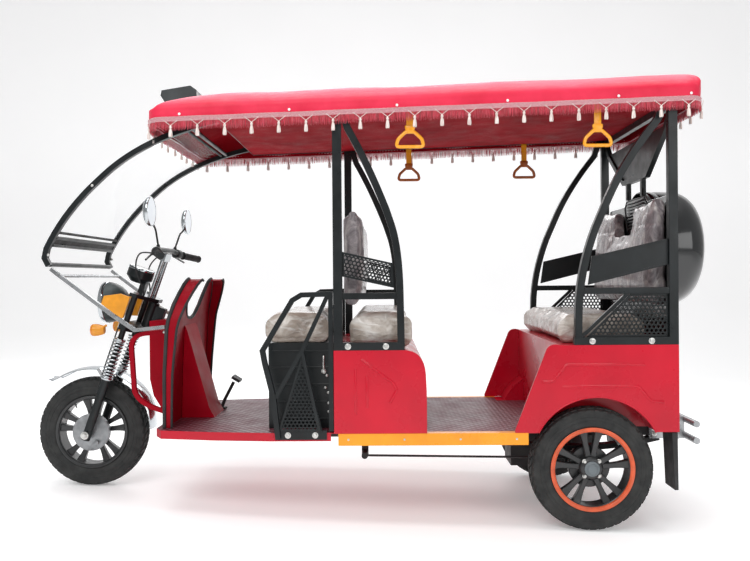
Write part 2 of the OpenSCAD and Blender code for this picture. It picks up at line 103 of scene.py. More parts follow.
class Mat:
    """A node tree with the object's own coordinates in metres."""

    def __init__(self, name, base, rough=0.5, metal=0.0, **more):
        self.m = bpy.data.materials.new(name)
        self.m.use_nodes = True
        self.t = self.m.node_tree
        self.b = self.t.nodes["Principled BSDF"]
        self.b.inputs["Base Color"].default_value = base if len(base) == 4 else (*base, 1)
        self.b.inputs["Roughness"].default_value = rough
        self.b.inputs["Metallic"].default_value = metal
        for k, v in more.items():
            self.b.inputs[k.replace("_", " ")].default_value = v
        self.co = self.t.nodes.new("ShaderNodeTexCoord").outputs["Object"]
        self.h = None

    def n(self, kind, **kw):
        d = self.t.nodes.new("ShaderNode" + kind)
        for k, v in kw.items():
            if hasattr(d, k) and k not in ("Scale",):
                setattr(d, k, v)
        return d

    def link(self, a, b):
        self.t.links.new(a, b)

    def noise(self, scale, detail=3, rough=0.55, stretch=None, dist=0.0):
        d = self.t.nodes.new("ShaderNodeTexNoise")
        d.inputs["Scale"].default_value = scale
        d.inputs["Detail"].default_value = detail
        d.inputs["Roughness"].default_value = rough
        d.inputs["Distortion"].default_value = dist
        self.link(self.coords(stretch), d.inputs["Vector"])
        return d.outputs["Fac"]

    def coords(self, stretch=None, rot=None):
        if stretch is None and rot is None:
            return self.co
        d = self.t.nodes.new("ShaderNodeMapping")
        if stretch is not None:
            d.inputs["Scale"].default_value = stretch
        if rot is not None:
            d.inputs["Rotation"].default_value = rot
        self.link(self.co, d.inputs["Vector"])
        return d.outputs["Vector"]

    def voronoi(self, scale, feature="F1", stretch=None, out="Distance"):
        d = self.t.nodes.new("ShaderNodeTexVoronoi")
        d.feature = feature
        d.inputs["Scale"].default_value = scale
        self.link(self.coords(stretch), d.inputs["Vector"])
        return d.outputs[out]

    def wave(self, scale, direction="X", dist=0.0, kind="BANDS", profile="SIN", rot=None, detail=2):
        d = self.t.nodes.new("ShaderNodeTexWave")
        d.wave_type, d.wave_profile = kind, profile
        if kind == "BANDS":
            d.bands_direction = direction
        d.inputs["Scale"].default_value = scale
        d.inputs["Distortion"].default_value = dist
        d.inputs["Detail"].default_value = detail
        self.link(self.coords(None, rot), d.inputs["Vector"])
        return d.outputs["Fac"]

    def ramp(self, fac, stops):
        d = self.t.nodes.new("ShaderNodeValToRGB")
        els = d.color_ramp.elements
        while len(els) < len(stops):
            els.new(0.5)
        for e, (p, c) in zip(els, stops):
            e.position = p
            e.color = c if hasattr(c, "__len__") else (c, c, c, 1)
        self.link(fac, d.inputs["Fac"])
        return d.outputs["Color"]

    def math(self, op, a, b=0.5, clamp=False):
        d = self.t.nodes.new("ShaderNodeMath")
        d.operation, d.use_clamp = op, clamp
        for i, v in enumerate((a, b)):
            if isinstance(v, (int, float)):
                d.inputs[i].default_value = v
            else:
                self.link(v, d.inputs[i])
        return d.outputs[0]

    def mixc(self, fac, a, b, mode="MIX"):
        d = self.t.nodes.new("ShaderNodeMix")
        d.data_type, d.blend_type = "RGBA", mode
        for i, v in ((0, fac), (6, a), (7, b)):
            if isinstance(v, (int, float)):
                d.inputs[i].default_value = v
            elif hasattr(v, "__len__"):
                d.inputs[i].default_value = v if len(v) == 4 else (*v, 1)
            else:
                self.link(v, d.inputs[i])
        return d.outputs[2]

    def color(self, socket):
        self.link(socket, self.b.inputs["Base Color"])
        return self

    def vary(self, scale, amount, tint=None, stretch=None, detail=4):
        """darker and lighter cloudy variation of the base colour"""
        c = self.b.inputs["Base Color"].default_value
        dark = tuple(max(0, v * (1 - amount)) for v in c[:3])
        light = tint or tuple(min(1, v * (1 + amount) + 0.004 * amount) for v in c[:3])
        self.color(self.ramp(self.noise(scale, detail, stretch=stretch), [(0.3, (*dark, 1)), (0.7, (*light[:3], 1))]))
        return self

    def rough(self, scale, lo, hi, stretch=None, detail=4):
        d = self.t.nodes.new("ShaderNodeMapRange")
        d.inputs["From Min"].default_value, d.inputs["From Max"].default_value = 0.3, 0.7
        d.inputs["To Min"].default_value, d.inputs["To Max"].default_value = lo, hi
        self.link(self.noise(scale, detail, stretch=stretch), d.inputs["Value"])
        self.link(d.outputs["Result"], self.b.inputs["Roughness"])
        return self

    def bump(self, height, strength=0.3, distance=0.001):
        d = self.t.nodes.new("ShaderNodeBump")
        d.inputs["Strength"].default_value = strength
        d.inputs["Distance"].default_value = distance
        self.link(height, d.inputs["Height"])
        if self.h is not None:
            self.link(self.h, d.inputs["Normal"])
        self.h = d.outputs["Normal"]
        self.link(self.h, self.b.inputs["Normal"])
        return self


def edge_wear(m, color, width=0.9):
    """a mask of paint rubbed thin along sharp edges"""
    g = m.t.nodes.new("ShaderNodeNewGeometry")
    w = m.math("MULTIPLY", m.ramp(g.outputs["Pointiness"], [(0.53, 0.0), (0.60, 1.0)]), m.ramp(m.noise(60, 5), [(0.45, 0.0), (0.62, width)]))
    return w


MATS = {}


def build_materials():
    M = MATS
    # gloss red sheet: flakes of orange peel, thin dust
    m = Mat("red_paint", (0.52, 0.003, 0.020, 1), 0.32, 0.0, Coat_Weight=0.22, Coat_Roughness=0.08, Specular_IOR_Level=0.26)
    m.vary(3.2, 0.14).rough(7, 0.22, 0.40).bump(m.noise(420, 2), 0.06, 0.0006).bump(m.noise(9, 3), 0.10, 0.004)
    M["red"] = m.m
    # a darker, less glossy copy of the red paint for the cowl, the leg shields and their flanges; its darker base is
    # painted shade
    m = Mat("red_paint_shaded", (0.30, 0.002, 0.011, 1), 0.48, 0.0, Coat_Weight=0.03, Coat_Roughness=0.12, Specular_IOR_Level=0.07)
    m.vary(3.6, 0.22).rough(7, 0.36, 0.56).bump(m.noise(420, 2), 0.06, 0.0006).bump(m.noise(8, 3), 0.14, 0.005)
    M["red_dark"] = m.m
    m = Mat("red_paint_mid", (0.44, 0.002, 0.014, 1), 0.46, 0.0, Coat_Weight=0.03, Coat_Roughness=0.12, Specular_IOR_Level=0.07)
    m.vary(3.6, 0.2).rough(7, 0.34, 0.54).bump(m.noise(420, 2), 0.06, 0.0006).bump(m.noise(8, 3), 0.16, 0.005)
    M["red_mid"] = m.m
    m = Mat("red_floor", (0.14, 0.02, 0.035, 1), 0.46, 0.0, Coat_Weight=0.08, Coat_Roughness=0.25, Specular_IOR_Level=0.22)
    dots = m.voronoi(34, "F1", (1, 1, 0.01))
    bars = m.math("MULTIPLY", m.wave(11.5, "X", rot=(0, 0, 0.785)), m.wave(11.5, "X", rot=(0, 0, -0.785)))
    m.color(m.mixc(m.ramp(bars, [(0.35, 0.0), (0.6, 0.75)]), m.ramp(m.noise(6, 4), [(0.3, (0.085, 0.006, 0.014, 1)), (0.75, (0.16, 0.035, 0.05, 1))]), (0.26, 0.15, 0.18, 1)))
    m.rough(12, 0.3, 0.55).bump(bars, 0.9, 0.004).bump(m.noise(160, 3), 0.2, 0.0006)
    M["floor"] = m.m
    m = Mat("yellow_paint", (0.90, 0.33, 0.004, 1), 0.34, 0.0, Coat_Weight=0.25, Coat_Roughness=0.1, Specular_IOR_Level=0.4)
    m.vary(9, 0.10).rough(14, 0.22, 0.42).bump(m.noise(320, 2), 0.08, 0.0005).bump(m.noise(14, 2), 0.12, 0.003)
    M["yellow"] = m.m
    m = Mat("black_paint", (0.0060, 0.0085, 0.0095, 1), 0.36, 0.0, Coat_Weight=0.08, Coat_Roughness=0.18, Specular_IOR_Level=0.32)
    m.vary(11, 0.35).rough(16, 0.26, 0.46).bump(m.noise(520, 2), 0.10, 0.0005)
    M["black"] = m.m
    m = Mat("black_under", (0.012, 0.012, 0.013, 1), 0.6)
    m.color(m.mixc(m.ramp(m.noise(10, 6), [(0.5, 0.0), (0.75, 0.55)]), (0.012, 0.012, 0.013, 1), (0.055, 0.05, 0.045, 1)))
    m.rough(20, 0.45, 0.75).bump(m.noise(260, 4), 0.25, 0.001)
    M["under"] = m.m
    m = Mat("black_plastic", (0.011, 0.012, 0.013, 1), 0.38)
    m.vary(20, 0.25).rough(18, 0.3, 0.5).bump(m.voronoi(700), 0.18, 0.0004)
    M["plastic"] = m.m
    m = Mat("gloss_black", (0.008, 0.009, 0.010, 1), 0.14, 0.0, Coat_Weight=0.7, Coat_Roughness=0.05)
    m.vary(6, 0.3).rough(9, 0.1, 0.24).bump(m.noise(30, 3), 0.04, 0.002)
    M["gloss_black"] = m.m
    m = Mat("chrome", (0.50, 0.53, 0.55, 1), 0.14, 1.0)
    m.vary(14, 0.07).rough(24, 0.07, 0.2).bump(m.noise(40, 3), 0.03, 0.001)
    M["chrome"] = m.m
    m = Mat("zinc_pipe", (0.38, 0.39, 0.40, 1), 0.30, 0.9)
    m.vary(26, 0.12).rough(40, 0.2, 0.4).bump(m.noise(300, 3), 0.08, 0.0006)
    M["zinc"] = m.m
    m = Mat("cast_alloy", (0.30, 0.31, 0.32, 1), 0.45, 0.85)
    m.vary(30, 0.2).rough(50, 0.35, 0.6).bump(m.noise(500, 4), 0.3, 0.0006)
    M["alloy"] = m.m
    m = Mat("wheel_black", (0.014, 0.015, 0.016, 1), 0.36, 0.0, Coat_Weight=0.3, Coat_Roughness=0.2)
    m.vary(22, 0.3).rough(28, 0.28, 0.5).bump(m.noise(600, 3), 0.16, 0.0005)
    M["wheel"] = m.m
    m = Mat("orange_ring", (0.62, 0.085, 0.018, 1), 0.34, 0.0, Coat_Weight=0.35, Coat_Roughness=0.15)
    m.vary(24, 0.18).rough(30, 0.28, 0.5).bump(m.noise(400, 2), 0.1, 0.0005)
    M["orange"] = m.m
    m = Mat("tyre_rubber", (0.030, 0.031, 0.030, 1), 0.72)
    m.color(m.mixc(m.ramp(m.noise(16, 6), [(0.42, 0.0), (0.72, 0.6)]), (0.011, 0.012, 0.012, 1), (0.036, 0.036, 0.034, 1)))
    m.rough(30, 0.58, 0.82).bump(m.noise(340, 4), 0.28, 0.0007)
    M["tyre"] = m.m
    m = Mat("flap_rubber", (0.016, 0.016, 0.017, 1), 0.6)
    m.vary(12, 0.4).rough(20, 0.5, 0.75).bump(m.noise(300, 4), 0.25, 0.0008)
    M["rubber"] = m.m
    # canopy: coated cloth with a fine weave, paler pink on the upward faces as painted highlight
    m = Mat("canopy_cloth", (0.78, 0.008, 0.028, 1), 0.46, 0.0, Sheen_Weight=0.10, Sheen_Roughness=0.35, Sheen_Tint=(1, 0.6, 0.65, 1), Coat_Weight=0.08, Coat_Roughness=0.3, Specular_IOR_Level=0.3)
    g = m.t.nodes.new("ShaderNodeNewGeometry")
    sep = m.t.nodes.new("ShaderNodeSeparateXYZ")
    m.link(g.outputs["Normal"], sep.inputs[0])
    # faces turned up are mixed toward pale pink, patchy by noise: painted highlight on the top
    up = m.ramp(sep.outputs["Z"], [(0.0, 0.0), (0.72, 0.0), (0.97, 0.85)])
    up = m.math("MULTIPLY", up, m.ramp(m.noise(4.5, 5), [(0.25, 0.55), (0.7, 1.0)]))
    base = m.ramp(m.noise(5, 5), [(0.3, (0.62, 0.009, 0.042, 1)), (0.7, (0.82, 0.030, 0.085, 1))])
    m.color(m.mixc(up, base, (0.93, 0.22, 0.29, 1)))
    weave = m.math("MULTIPLY", m.wave(420, "X"), m.wave(420, "Y"))
    m.rough(18, 0.36, 0.56).bump(m.noise(5.0, 4, stretch=(1, 2.2, 1)), 0.35, 0.008).bump(m.noise(34, 3), 0.18, 0.0016).bump(weave, 0.22, 0.0004)
    M["canopy"] = m.m
    # dark red for the cloth's inner faces and the sheet under the roof bars, much darker than the outer red: painted
    # shade
    m = Mat("canopy_liner_painted_shade", (0.27, 0.0012, 0.007, 1), 0.8, 0.0, Specular_IOR_Level=0.08)
    m.vary(5, 0.25).rough(12, 0.6, 0.85).bump(m.math("MULTIPLY", m.wave(380, "X"), m.wave(380, "Y")), 0.3, 0.0005).bump(m.noise(7, 4), 0.4, 0.006)
    M["shaded_liner"] = m.m
    m = Mat("braid", lin((228, 150, 160)), 0.7, 0.0, Sheen_Weight=0.4)
    tw = m.wave(150, "X", 1.2, rot=(0, 0.7, 0))
    m.color(m.ramp(tw, [(0.2, lin((196, 72, 92))), (0.55, lin((236, 168, 178))), (0.8, lin((246, 208, 210)))])).rough(60, 0.6, 0.85).bump(tw, 0.8, 0.002)
    M["braid"] = m.m
    m = Mat("fringe_thread", (0.55, 0.006, 0.03, 1), 0.66, 0.0, Sheen_Weight=0.5)
    m.color(m.ramp(m.noise(150, 2, stretch=(1, 1, 0.1)), [(0.3, (0.30, 0.003, 0.015, 1)), (0.52, (0.60, 0.008, 0.038, 1)), (0.78, (0.70, 0.06, 0.12, 1))])).rough(80, 0.55, 0.8).bump(m.noise(900, 2), 0.3, 0.0005)
    M["fringe"] = m.m
    m = Mat("tassel_thread", lin((222, 196, 176)), 0.7, 0.0, Sheen_Weight=0.4)
    m.color(m.ramp(m.noise(260, 2, stretch=(1, 1, 0.08)), [(0.3, (0.56, 0.40, 0.36, 1)), (0.6, (0.84, 0.76, 0.72, 1)), (0.8, (0.92, 0.89, 0.86, 1))])).rough(80, 0.6, 0.85).bump(m.noise(800, 2, stretch=(1, 1, 0.08)), 0.6, 0.0006)
    M["tassel"] = m.m
    # grey upholstery under loose clear film: crumpled, glossy, with patches of the paler cloth, and near-white painted
    # highlights on the crease ridges
    m = Mat("film_seat", (0.30, 0.26, 0.22, 1), 0.36, 0.0, Coat_Weight=0.6, Coat_Roughness=0.10, Coat_IOR=1.5)
    patch = m.ramp(m.noise(7.5, 5, dist=1.1), [(0.30, (0.16, 0.125, 0.105, 1)), (0.47, (0.36, 0.30, 0.25, 1)), (0.60, (0.55, 0.50, 0.45, 1)), (0.78, (0.70, 0.68, 0.65, 1))])
    crease_with_painted_light = m.noise(15, 6, 0.62, stretch=(0.6, 1.2, 1.9), dist=1.6)
    # the crease ridges are mixed toward near-white: painted highlight of the film
    m.color(m.mixc(m.ramp(crease_with_painted_light, [(0.53, 0.0), (0.68, 0.45)]), patch, (0.82, 0.81, 0.79, 1)))
    m.rough(12, 0.2, 0.5).bump(crease_with_painted_light, 0.75, 0.012).bump(m.voronoi(22, "DISTANCE_TO_EDGE", (0.8, 1.2, 1.2)), 0.35, 0.010).bump(m.noise(70, 4), 0.3, 0.002)
    M["seat"] = m.m
    m = Mat("film_back", (0.22, 0.19, 0.20, 1), 0.34, 0.0, Coat_Weight=0.6, Coat_Roughness=0.09, Coat_IOR=1.5)
    # backrest film: dark in the crease hollows and light on the ridges, following the bump: painted light and shade
    crease_with_painted_light = m.noise(13, 6, 0.62, stretch=(1, 1.6, 0.8), dist=1.8)
    m.color(m.ramp(crease_with_painted_light, [(0.30, (0.085, 0.07, 0.075, 1)), (0.48, (0.22, 0.19, 0.20, 1)), (0.62, (0.38, 0.34, 0.33, 1)), (0.74, (0.62, 0.60, 0.61, 1))]))
    m.rough(12, 0.2, 0.46).bump(crease_with_painted_light, 0.8, 0.012).bump(m.noise(60, 4), 0.3, 0.002)
    M["seat_back"] = m.m
    m = Mat("piping", (0.02, 0.02, 0.022, 1), 0.5)
    m.vary(30, 0.3).rough(30, 0.4, 0.6).bump(m.noise(500, 2), 0.2, 0.0004)
    M["piping"] = m.m
    m = Mat("clear_sheet", (0.93, 0.97, 0.98, 1), 0.04, 0.0, Transmission_Weight=1.0, IOR=1.05, Specular_IOR_Level=0.3, Alpha=0.12)
    m.rough(9, 0.02, 0.09).bump(m.noise(3, 2), 0.04, 0.004)
    M["clear"] = m.m
    m = Mat("lens_clear", (0.94, 0.96, 0.97, 1), 0.05, 0.0, Transmission_Weight=0.92, IOR=1.45)
    m.rough(20, 0.02, 0.10).bump(m.wave(60, "Y"), 0.5, 0.002)
    M["lens"] = m.m
    m = Mat("reflector", (0.8, 0.81, 0.83, 1), 0.13, 1.0)
    m.vary(12, 0.06).bump(m.voronoi(90), 0.3, 0.001)
    M["reflector"] = m.m
    m = Mat("amber", lin((255, 150, 20)), 0.16, 0.0, Transmission_Weight=0.25, Coat_Weight=0.6, Coat_Roughness=0.05)
    m.vary(40, 0.12).bump(m.math("MULTIPLY", m.wave(120, "Y"), m.wave(120, "Z")), 0.5, 0.001)
    M["amber"] = m.m
    m = Mat("orange_bracket", (0.80, 0.32, 0.012, 1), 0.34, 0.0, Coat_Weight=0.3, Coat_Roughness=0.15)
    m.vary(20, 0.14).rough(25, 0.28, 0.5).bump(m.noise(300, 2), 0.1, 0.0005)
    M["bracket"] = m.m
    m = Mat("red_lens", lin((190, 10, 16)), 0.14, 0.0, Transmission_Weight=0.25, Coat_Weight=0.6, Coat_Roughness=0.05)
    m.vary(30, 0.15).bump(m.math("MULTIPLY", m.wave(130, "Y"), m.wave(130, "Z")), 0.5, 0.001)
    M["red_lens"] = m.m
    m = Mat("handle_yellow", (0.90, 0.36, 0.010, 1), 0.28, 0.0, Coat_Weight=0.35, Coat_Roughness=0.12, Subsurface_Weight=0.06)
    m.vary(16, 0.10).rough(20, 0.22, 0.4).bump(m.noise(380, 3), 0.08, 0.0005)
    M["handle"] = m.m
    # the same yellow plastic darkened for the far side's handles: painted shade
    m = Mat("handle_yellow_shaded", (0.42, 0.11, 0.010, 1), 0.3, 0.0, Coat_Weight=0.3, Coat_Roughness=0.12)
    m.vary(16, 0.12).rough(20, 0.25, 0.42).bump(m.noise(380, 3), 0.08, 0.0005)
    M["handle2"] = m.m
    m = Mat("webbing", (0.018, 0.018, 0.02, 1), 0.75, 0.0, Sheen_Weight=0.2)
    m.vary(60, 0.3).bump(m.wave(260, "Z", 0.4), 0.6, 0.0008).bump(m.wave(260, "X", 0.4), 0.4, 0.0006)
    M["web"] = m.m
    m = Mat("grey_plastic", lin((104, 112, 116)), 0.42)
    m.vary(14, 0.12).rough(16, 0.34, 0.55).bump(m.voronoi(500), 0.2, 0.0005)
    M["grey"] = m.m
    m = Mat("lamp_shell", (0.034, 0.046, 0.047, 1), 0.42, 0.0, Specular_IOR_Level=0.35)
    m.vary(14, 0.25).rough(18, 0.34, 0.5).bump(m.noise(340, 2), 0.2, 0.0004).bump(m.noise(9, 3), 0.1, 0.002)
    M["lamp_shell"] = m.m
    m = Mat("mirror", (0.80, 0.84, 0.88, 1), 0.03, 1.0)
    m.vary(6, 0.04).rough(12, 0.02, 0.06)
    M["mirror"] = m.m
    m = Mat("bolt_zinc", (0.62, 0.62, 0.60, 1), 0.32, 0.95)
    m.vary(60, 0.2).rough(90, 0.24, 0.5).bump(m.noise(500, 2), 0.12, 0.0004)
    M["bolt"] = m.m
    m = Mat("white_button", lin((240, 240, 238)), 0.3)
    m.vary(40, 0.05).rough(40, 0.25, 0.4)
    M["white"] = m.m
    m = Mat("studio_floor", (0.93, 0.93, 0.935, 1), 0.6, 0.0, Emission_Color=(1, 1, 1, 1), Emission_Strength=0.22, Specular_IOR_Level=0.2)
    m.vary(1.5, 0.012).rough(3, 0.5, 0.62).bump(m.noise(90, 3), 0.02, 0.001)
    M["stage"] = m.m


build_materials()


# ------------------------------------------------------------------ mesh helpers
def obj(name, verts, faces, mat, body=ROOT, smooth=True, slot=None, angle=None):
    me = bpy.data.meshes.new(name)
    me.from_pydata([tuple(v) for v in verts], [], [tuple(f) for f in faces])
    me.validate()
    me.update()
    return obj_me(name, me, mat, body, smooth, angle)


def obj_me(name, me, mat, body=ROOT, smooth=True, angle=None):
    ob = bpy.data.objects.new(name, me)
    bpy.context.scene.collection.objects.link(ob)
    for mm in mat if isinstance(mat, (list, tuple)) else [mat]:
        me.materials.append(MATS[mm])
    bm = bmesh.new()
    bm.from_mesh(me)
    bmesh.ops.recalc_face_normals(bm, faces=bm.faces)
    for f in bm.faces:
        f.smooth = smooth
    if smooth and angle:
        a = math.radians(angle)
        for e in bm.edges:
            if len(e.link_faces) == 2 and e.calc_face_angle(0) > a:
                e.smooth = False
    bm.to_mesh(me)
    bm.free()
    if body:
        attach(ob, body)
    return ob


class Geo:
    """Collects many small shapes into one mesh. Points are given in row-frame metres."""

    def __init__(self):
        self.v, self.f, self.mi = [], [], []

    def add(self, verts, faces, mi=0):
        k = len(self.v)
        self.v += [tuple(v) for v in verts]
        self.f += [tuple(i + k for i in f) for f in faces]
        self.mi += [mi] * len(faces)

    def make(self, name, mat, body=ROOT, smooth=True, slot=None, angle=35):
        me = bpy.data.meshes.new(name)
        me.from_pydata(self.v, [], self.f)
        me.polygons.foreach_set("material_index", self.mi)
        me.update()
        return obj_me(name, me, mat, body, smooth, angle)

    def tube(self, pts, r, seg=8, mi=0, cap=True, closed=False):
        pts = [Vector(p) for p in pts]
        n = len(pts)
        rad = r if hasattr(r, "__len__") else [r] * n
        rings, up = [], None
        for i, p in enumerate(pts):
            a = pts[(i - 1) % n] if closed or i > 0 else p
            b = pts[(i + 1) % n] if closed or i < n - 1 else p
            t = (b - a).normalized()
            if up is None:
                up = Vector((0, 0, 1)) if abs(t.z) < 0.9 else Vector((1, 0, 0))
            s = t.cross(up).normalized()
            up = s.cross(t).normalized()
            rings.append([p + rad[i] * (math.cos(2 * math.pi * k / seg) * s + math.sin(2 * math.pi * k / seg) * up) for k in range(seg)])
        vs = [q for rg in rings for q in rg]
        fs = []
        for i in range(n if closed else n - 1):
            j = (i + 1) % n
            for k in range(seg):
                l = (k + 1) % seg
                fs.append((i * seg + k, i * seg + l, j * seg + l, j * seg + k))
        if cap and not closed:
            fs.append(tuple(range(seg))[::-1])
            fs.append(tuple((n - 1) * seg + k for k in range(seg)))
        self.add(vs, fs, mi)

    def lathe(self, centre, axis, profile, seg=32, mi=0, closed=False):
        """profile is a list of (radius, along) in metres; ends at radius 0 are capped"""
        c, a = Vector(centre), Vector(axis).normalized()
        u = a.orthogonal().normalized()
        w = a.cross(u)
        vs, fs = [], []
        for r, h in profile:
            for k in range(seg):
                t = 2 * math.pi * k / seg
                vs.append(c + a * h + r * (math.cos(t) * u + math.sin(t) * w))
        n = len(profile)
        for i in range(n if closed else n - 1):
            j = (i + 1) % n
            for k in range(seg):
                l = (k + 1) % seg
                fs.append((i * seg + k, i * seg + l, j * seg + l, j * seg + k))
        if not closed:
            fs.append(tuple(range(seg))[::-1])
            fs.append(tuple((n - 1) * seg + k for k in range(seg)))
        self.add(vs, fs, mi)

    def hexbolt(self, p, n, r=0.006, h=0.005, washer=True, mi=0):
        p, n = Vector(p), Vector(n).normalized()
        if washer:
            self.lathe(p, n, [(r * 1.45, 0), (r * 1.45, 0.0014), (r * 1.3, 0.002)], 16, mi)
        u = n.orthogonal().normalized()
        w = n.cross(u)
        vs = []
        for hh, k in ((0, 1), (h * 0.8, 1), (h, 0.82)):
            vs += [p + n * (hh + 0.0015) + r * k * (math.cos(i * math.pi / 3) * u + math.sin(i * math.pi / 3) * w) for i in range(6)]
        fs = [(i + 6 * j, (i + 1) % 6 + 6 * j, (i + 1) % 6 + 6 * (j + 1), i + 6 * (j + 1)) for j in range(2) for i in range(6)]
        fs.append(tuple(range(12, 18)))
        fs.append(tuple(range(6))[::-1])
        self.add(vs, fs, mi)

    def dome(self, p, n, r=0.005, h=0.0025, mi=0):
        self.lathe(p, n, [(r, 0), (r, h * 0.3), (r * 0.86, h * 0.7), (r * 0.5, h * 0.95), (r * 0.1, h)], 12, mi)

    def box(self, pts8, mi=0):
        self.add(pts8, [(0, 1, 2, 3), (7, 6, 5, 4), (0, 4, 5, 1), (1, 5, 6, 2), (2, 6, 7, 3), (3, 7, 4, 0)], mi)

    def slab(self, outline, y0, y1, mi=0):
        """a flat plate: outline in body-frame X, Z millimetres, between two sideways places"""
        n = len(outline)
        vs = [P(x, y0, z) for x, z in outline] + [P(x, y1, z) for x, z in outline]
        fs = [tuple(range(n)), tuple(range(2 * n - 1, n - 1, -1))] + [(i, i + n, (i + 1) % n + n, (i + 1) % n) for i in range(n)]
        self.add(vs, fs, mi)


def tune(node, mat, bevel=0.0015, angle=30):
    """keeps a CAD node, with softened edges and a real material"""
    o = N[node]
    o.data.materials.clear()
    o.data.materials.append(MATS[mat])
    g = o.modifiers.new("soften", "NODES")
    g.node_group = soften_group()
    if bevel:
        b = o.modifiers.new("bevel", "BEVEL")
        b.width, b.segments, b.limit_method, b.angle_limit = bevel, 2, "ANGLE", math.radians(angle)
        b.use_clamp_overlap = True
    w = o.modifiers.new("normals", "WEIGHTED_NORMAL")
    w.keep_sharp = True
    return o


_soft = []


def soften_group():
    if _soft:
        return _soft[0]
    g = bpy.data.node_groups.new("soften", "GeometryNodeTree")
    g.interface.new_socket("Geometry", in_out="INPUT", socket_type="NodeSocketGeometry")
    g.interface.new_socket("Geometry", in_out="OUTPUT", socket_type="NodeSocketGeometry")
    i, o = g.nodes.new("NodeGroupInput"), g.nodes.new("NodeGroupOutput")
    m = g.nodes.new("GeometryNodeMergeByDistance")
    m.inputs["Distance"].default_value = 0.00002
    s = g.nodes.new("GeometryNodeSetShadeSmooth")
    g.links.new(i.outputs[0], m.inputs["Geometry"])
    g.links.new(m.outputs[0], s.inputs["Geometry"])
    g.links.new(s.outputs[0], o.inputs[0])
    _soft.append(g)
    return g


def apply_mods(ob):
    dg = bpy.context.evaluated_depsgraph_get()
    me = bpy.data.meshes.new_from_object(ob.evaluated_get(dg), preserve_all_data_layers=True, depsgraph=dg)
    ob.modifiers.clear()
    ob.data = me
    return ob


# ================================================================== CAD nodes kept as they are
for node, mat in {
    "chassis_frame": "under", "floor_pan": "floor", "side_step_rails": "yellow", "front_cowl": "red_dark", "head_tube": "black",
    "leg_shields": "red_dark", "column_cover": "red_mid", "windscreen_frame": "black", "windscreen_stay": "zinc",
    "driver_seat_box": "black", "armrest_frames": "black", "middle_seat_box": "red",
    "middle_frames": "black", "rear_side_panels": "red", "rear_seat_box": "red",
    "rear_frames": "black", "roof_frame": "black", "roof_lamp": "lamp_shell", "rear_axle": "under",
    "rear_bumper": "zinc", "mud_flaps": "rubber", "tail_lamps": "red_lens", "brake_linkage": "under", "fork": "black",
}.items():
    tune(node, mat)
tune("rear_seat_shell", "gloss_black", 0.004)
tune("windscreen", "clear", 0.0012)


def face_parts(node, pick, mat):
    """gives some faces of a kept node a second material, by where they lie"""
    o = N[node]
    o.data.materials.append(MATS[mat])
    k = len(o.data.materials) - 1
    for p in o.data.polygons:
        if pick(p.center, p.normal):
            p.material_index = k


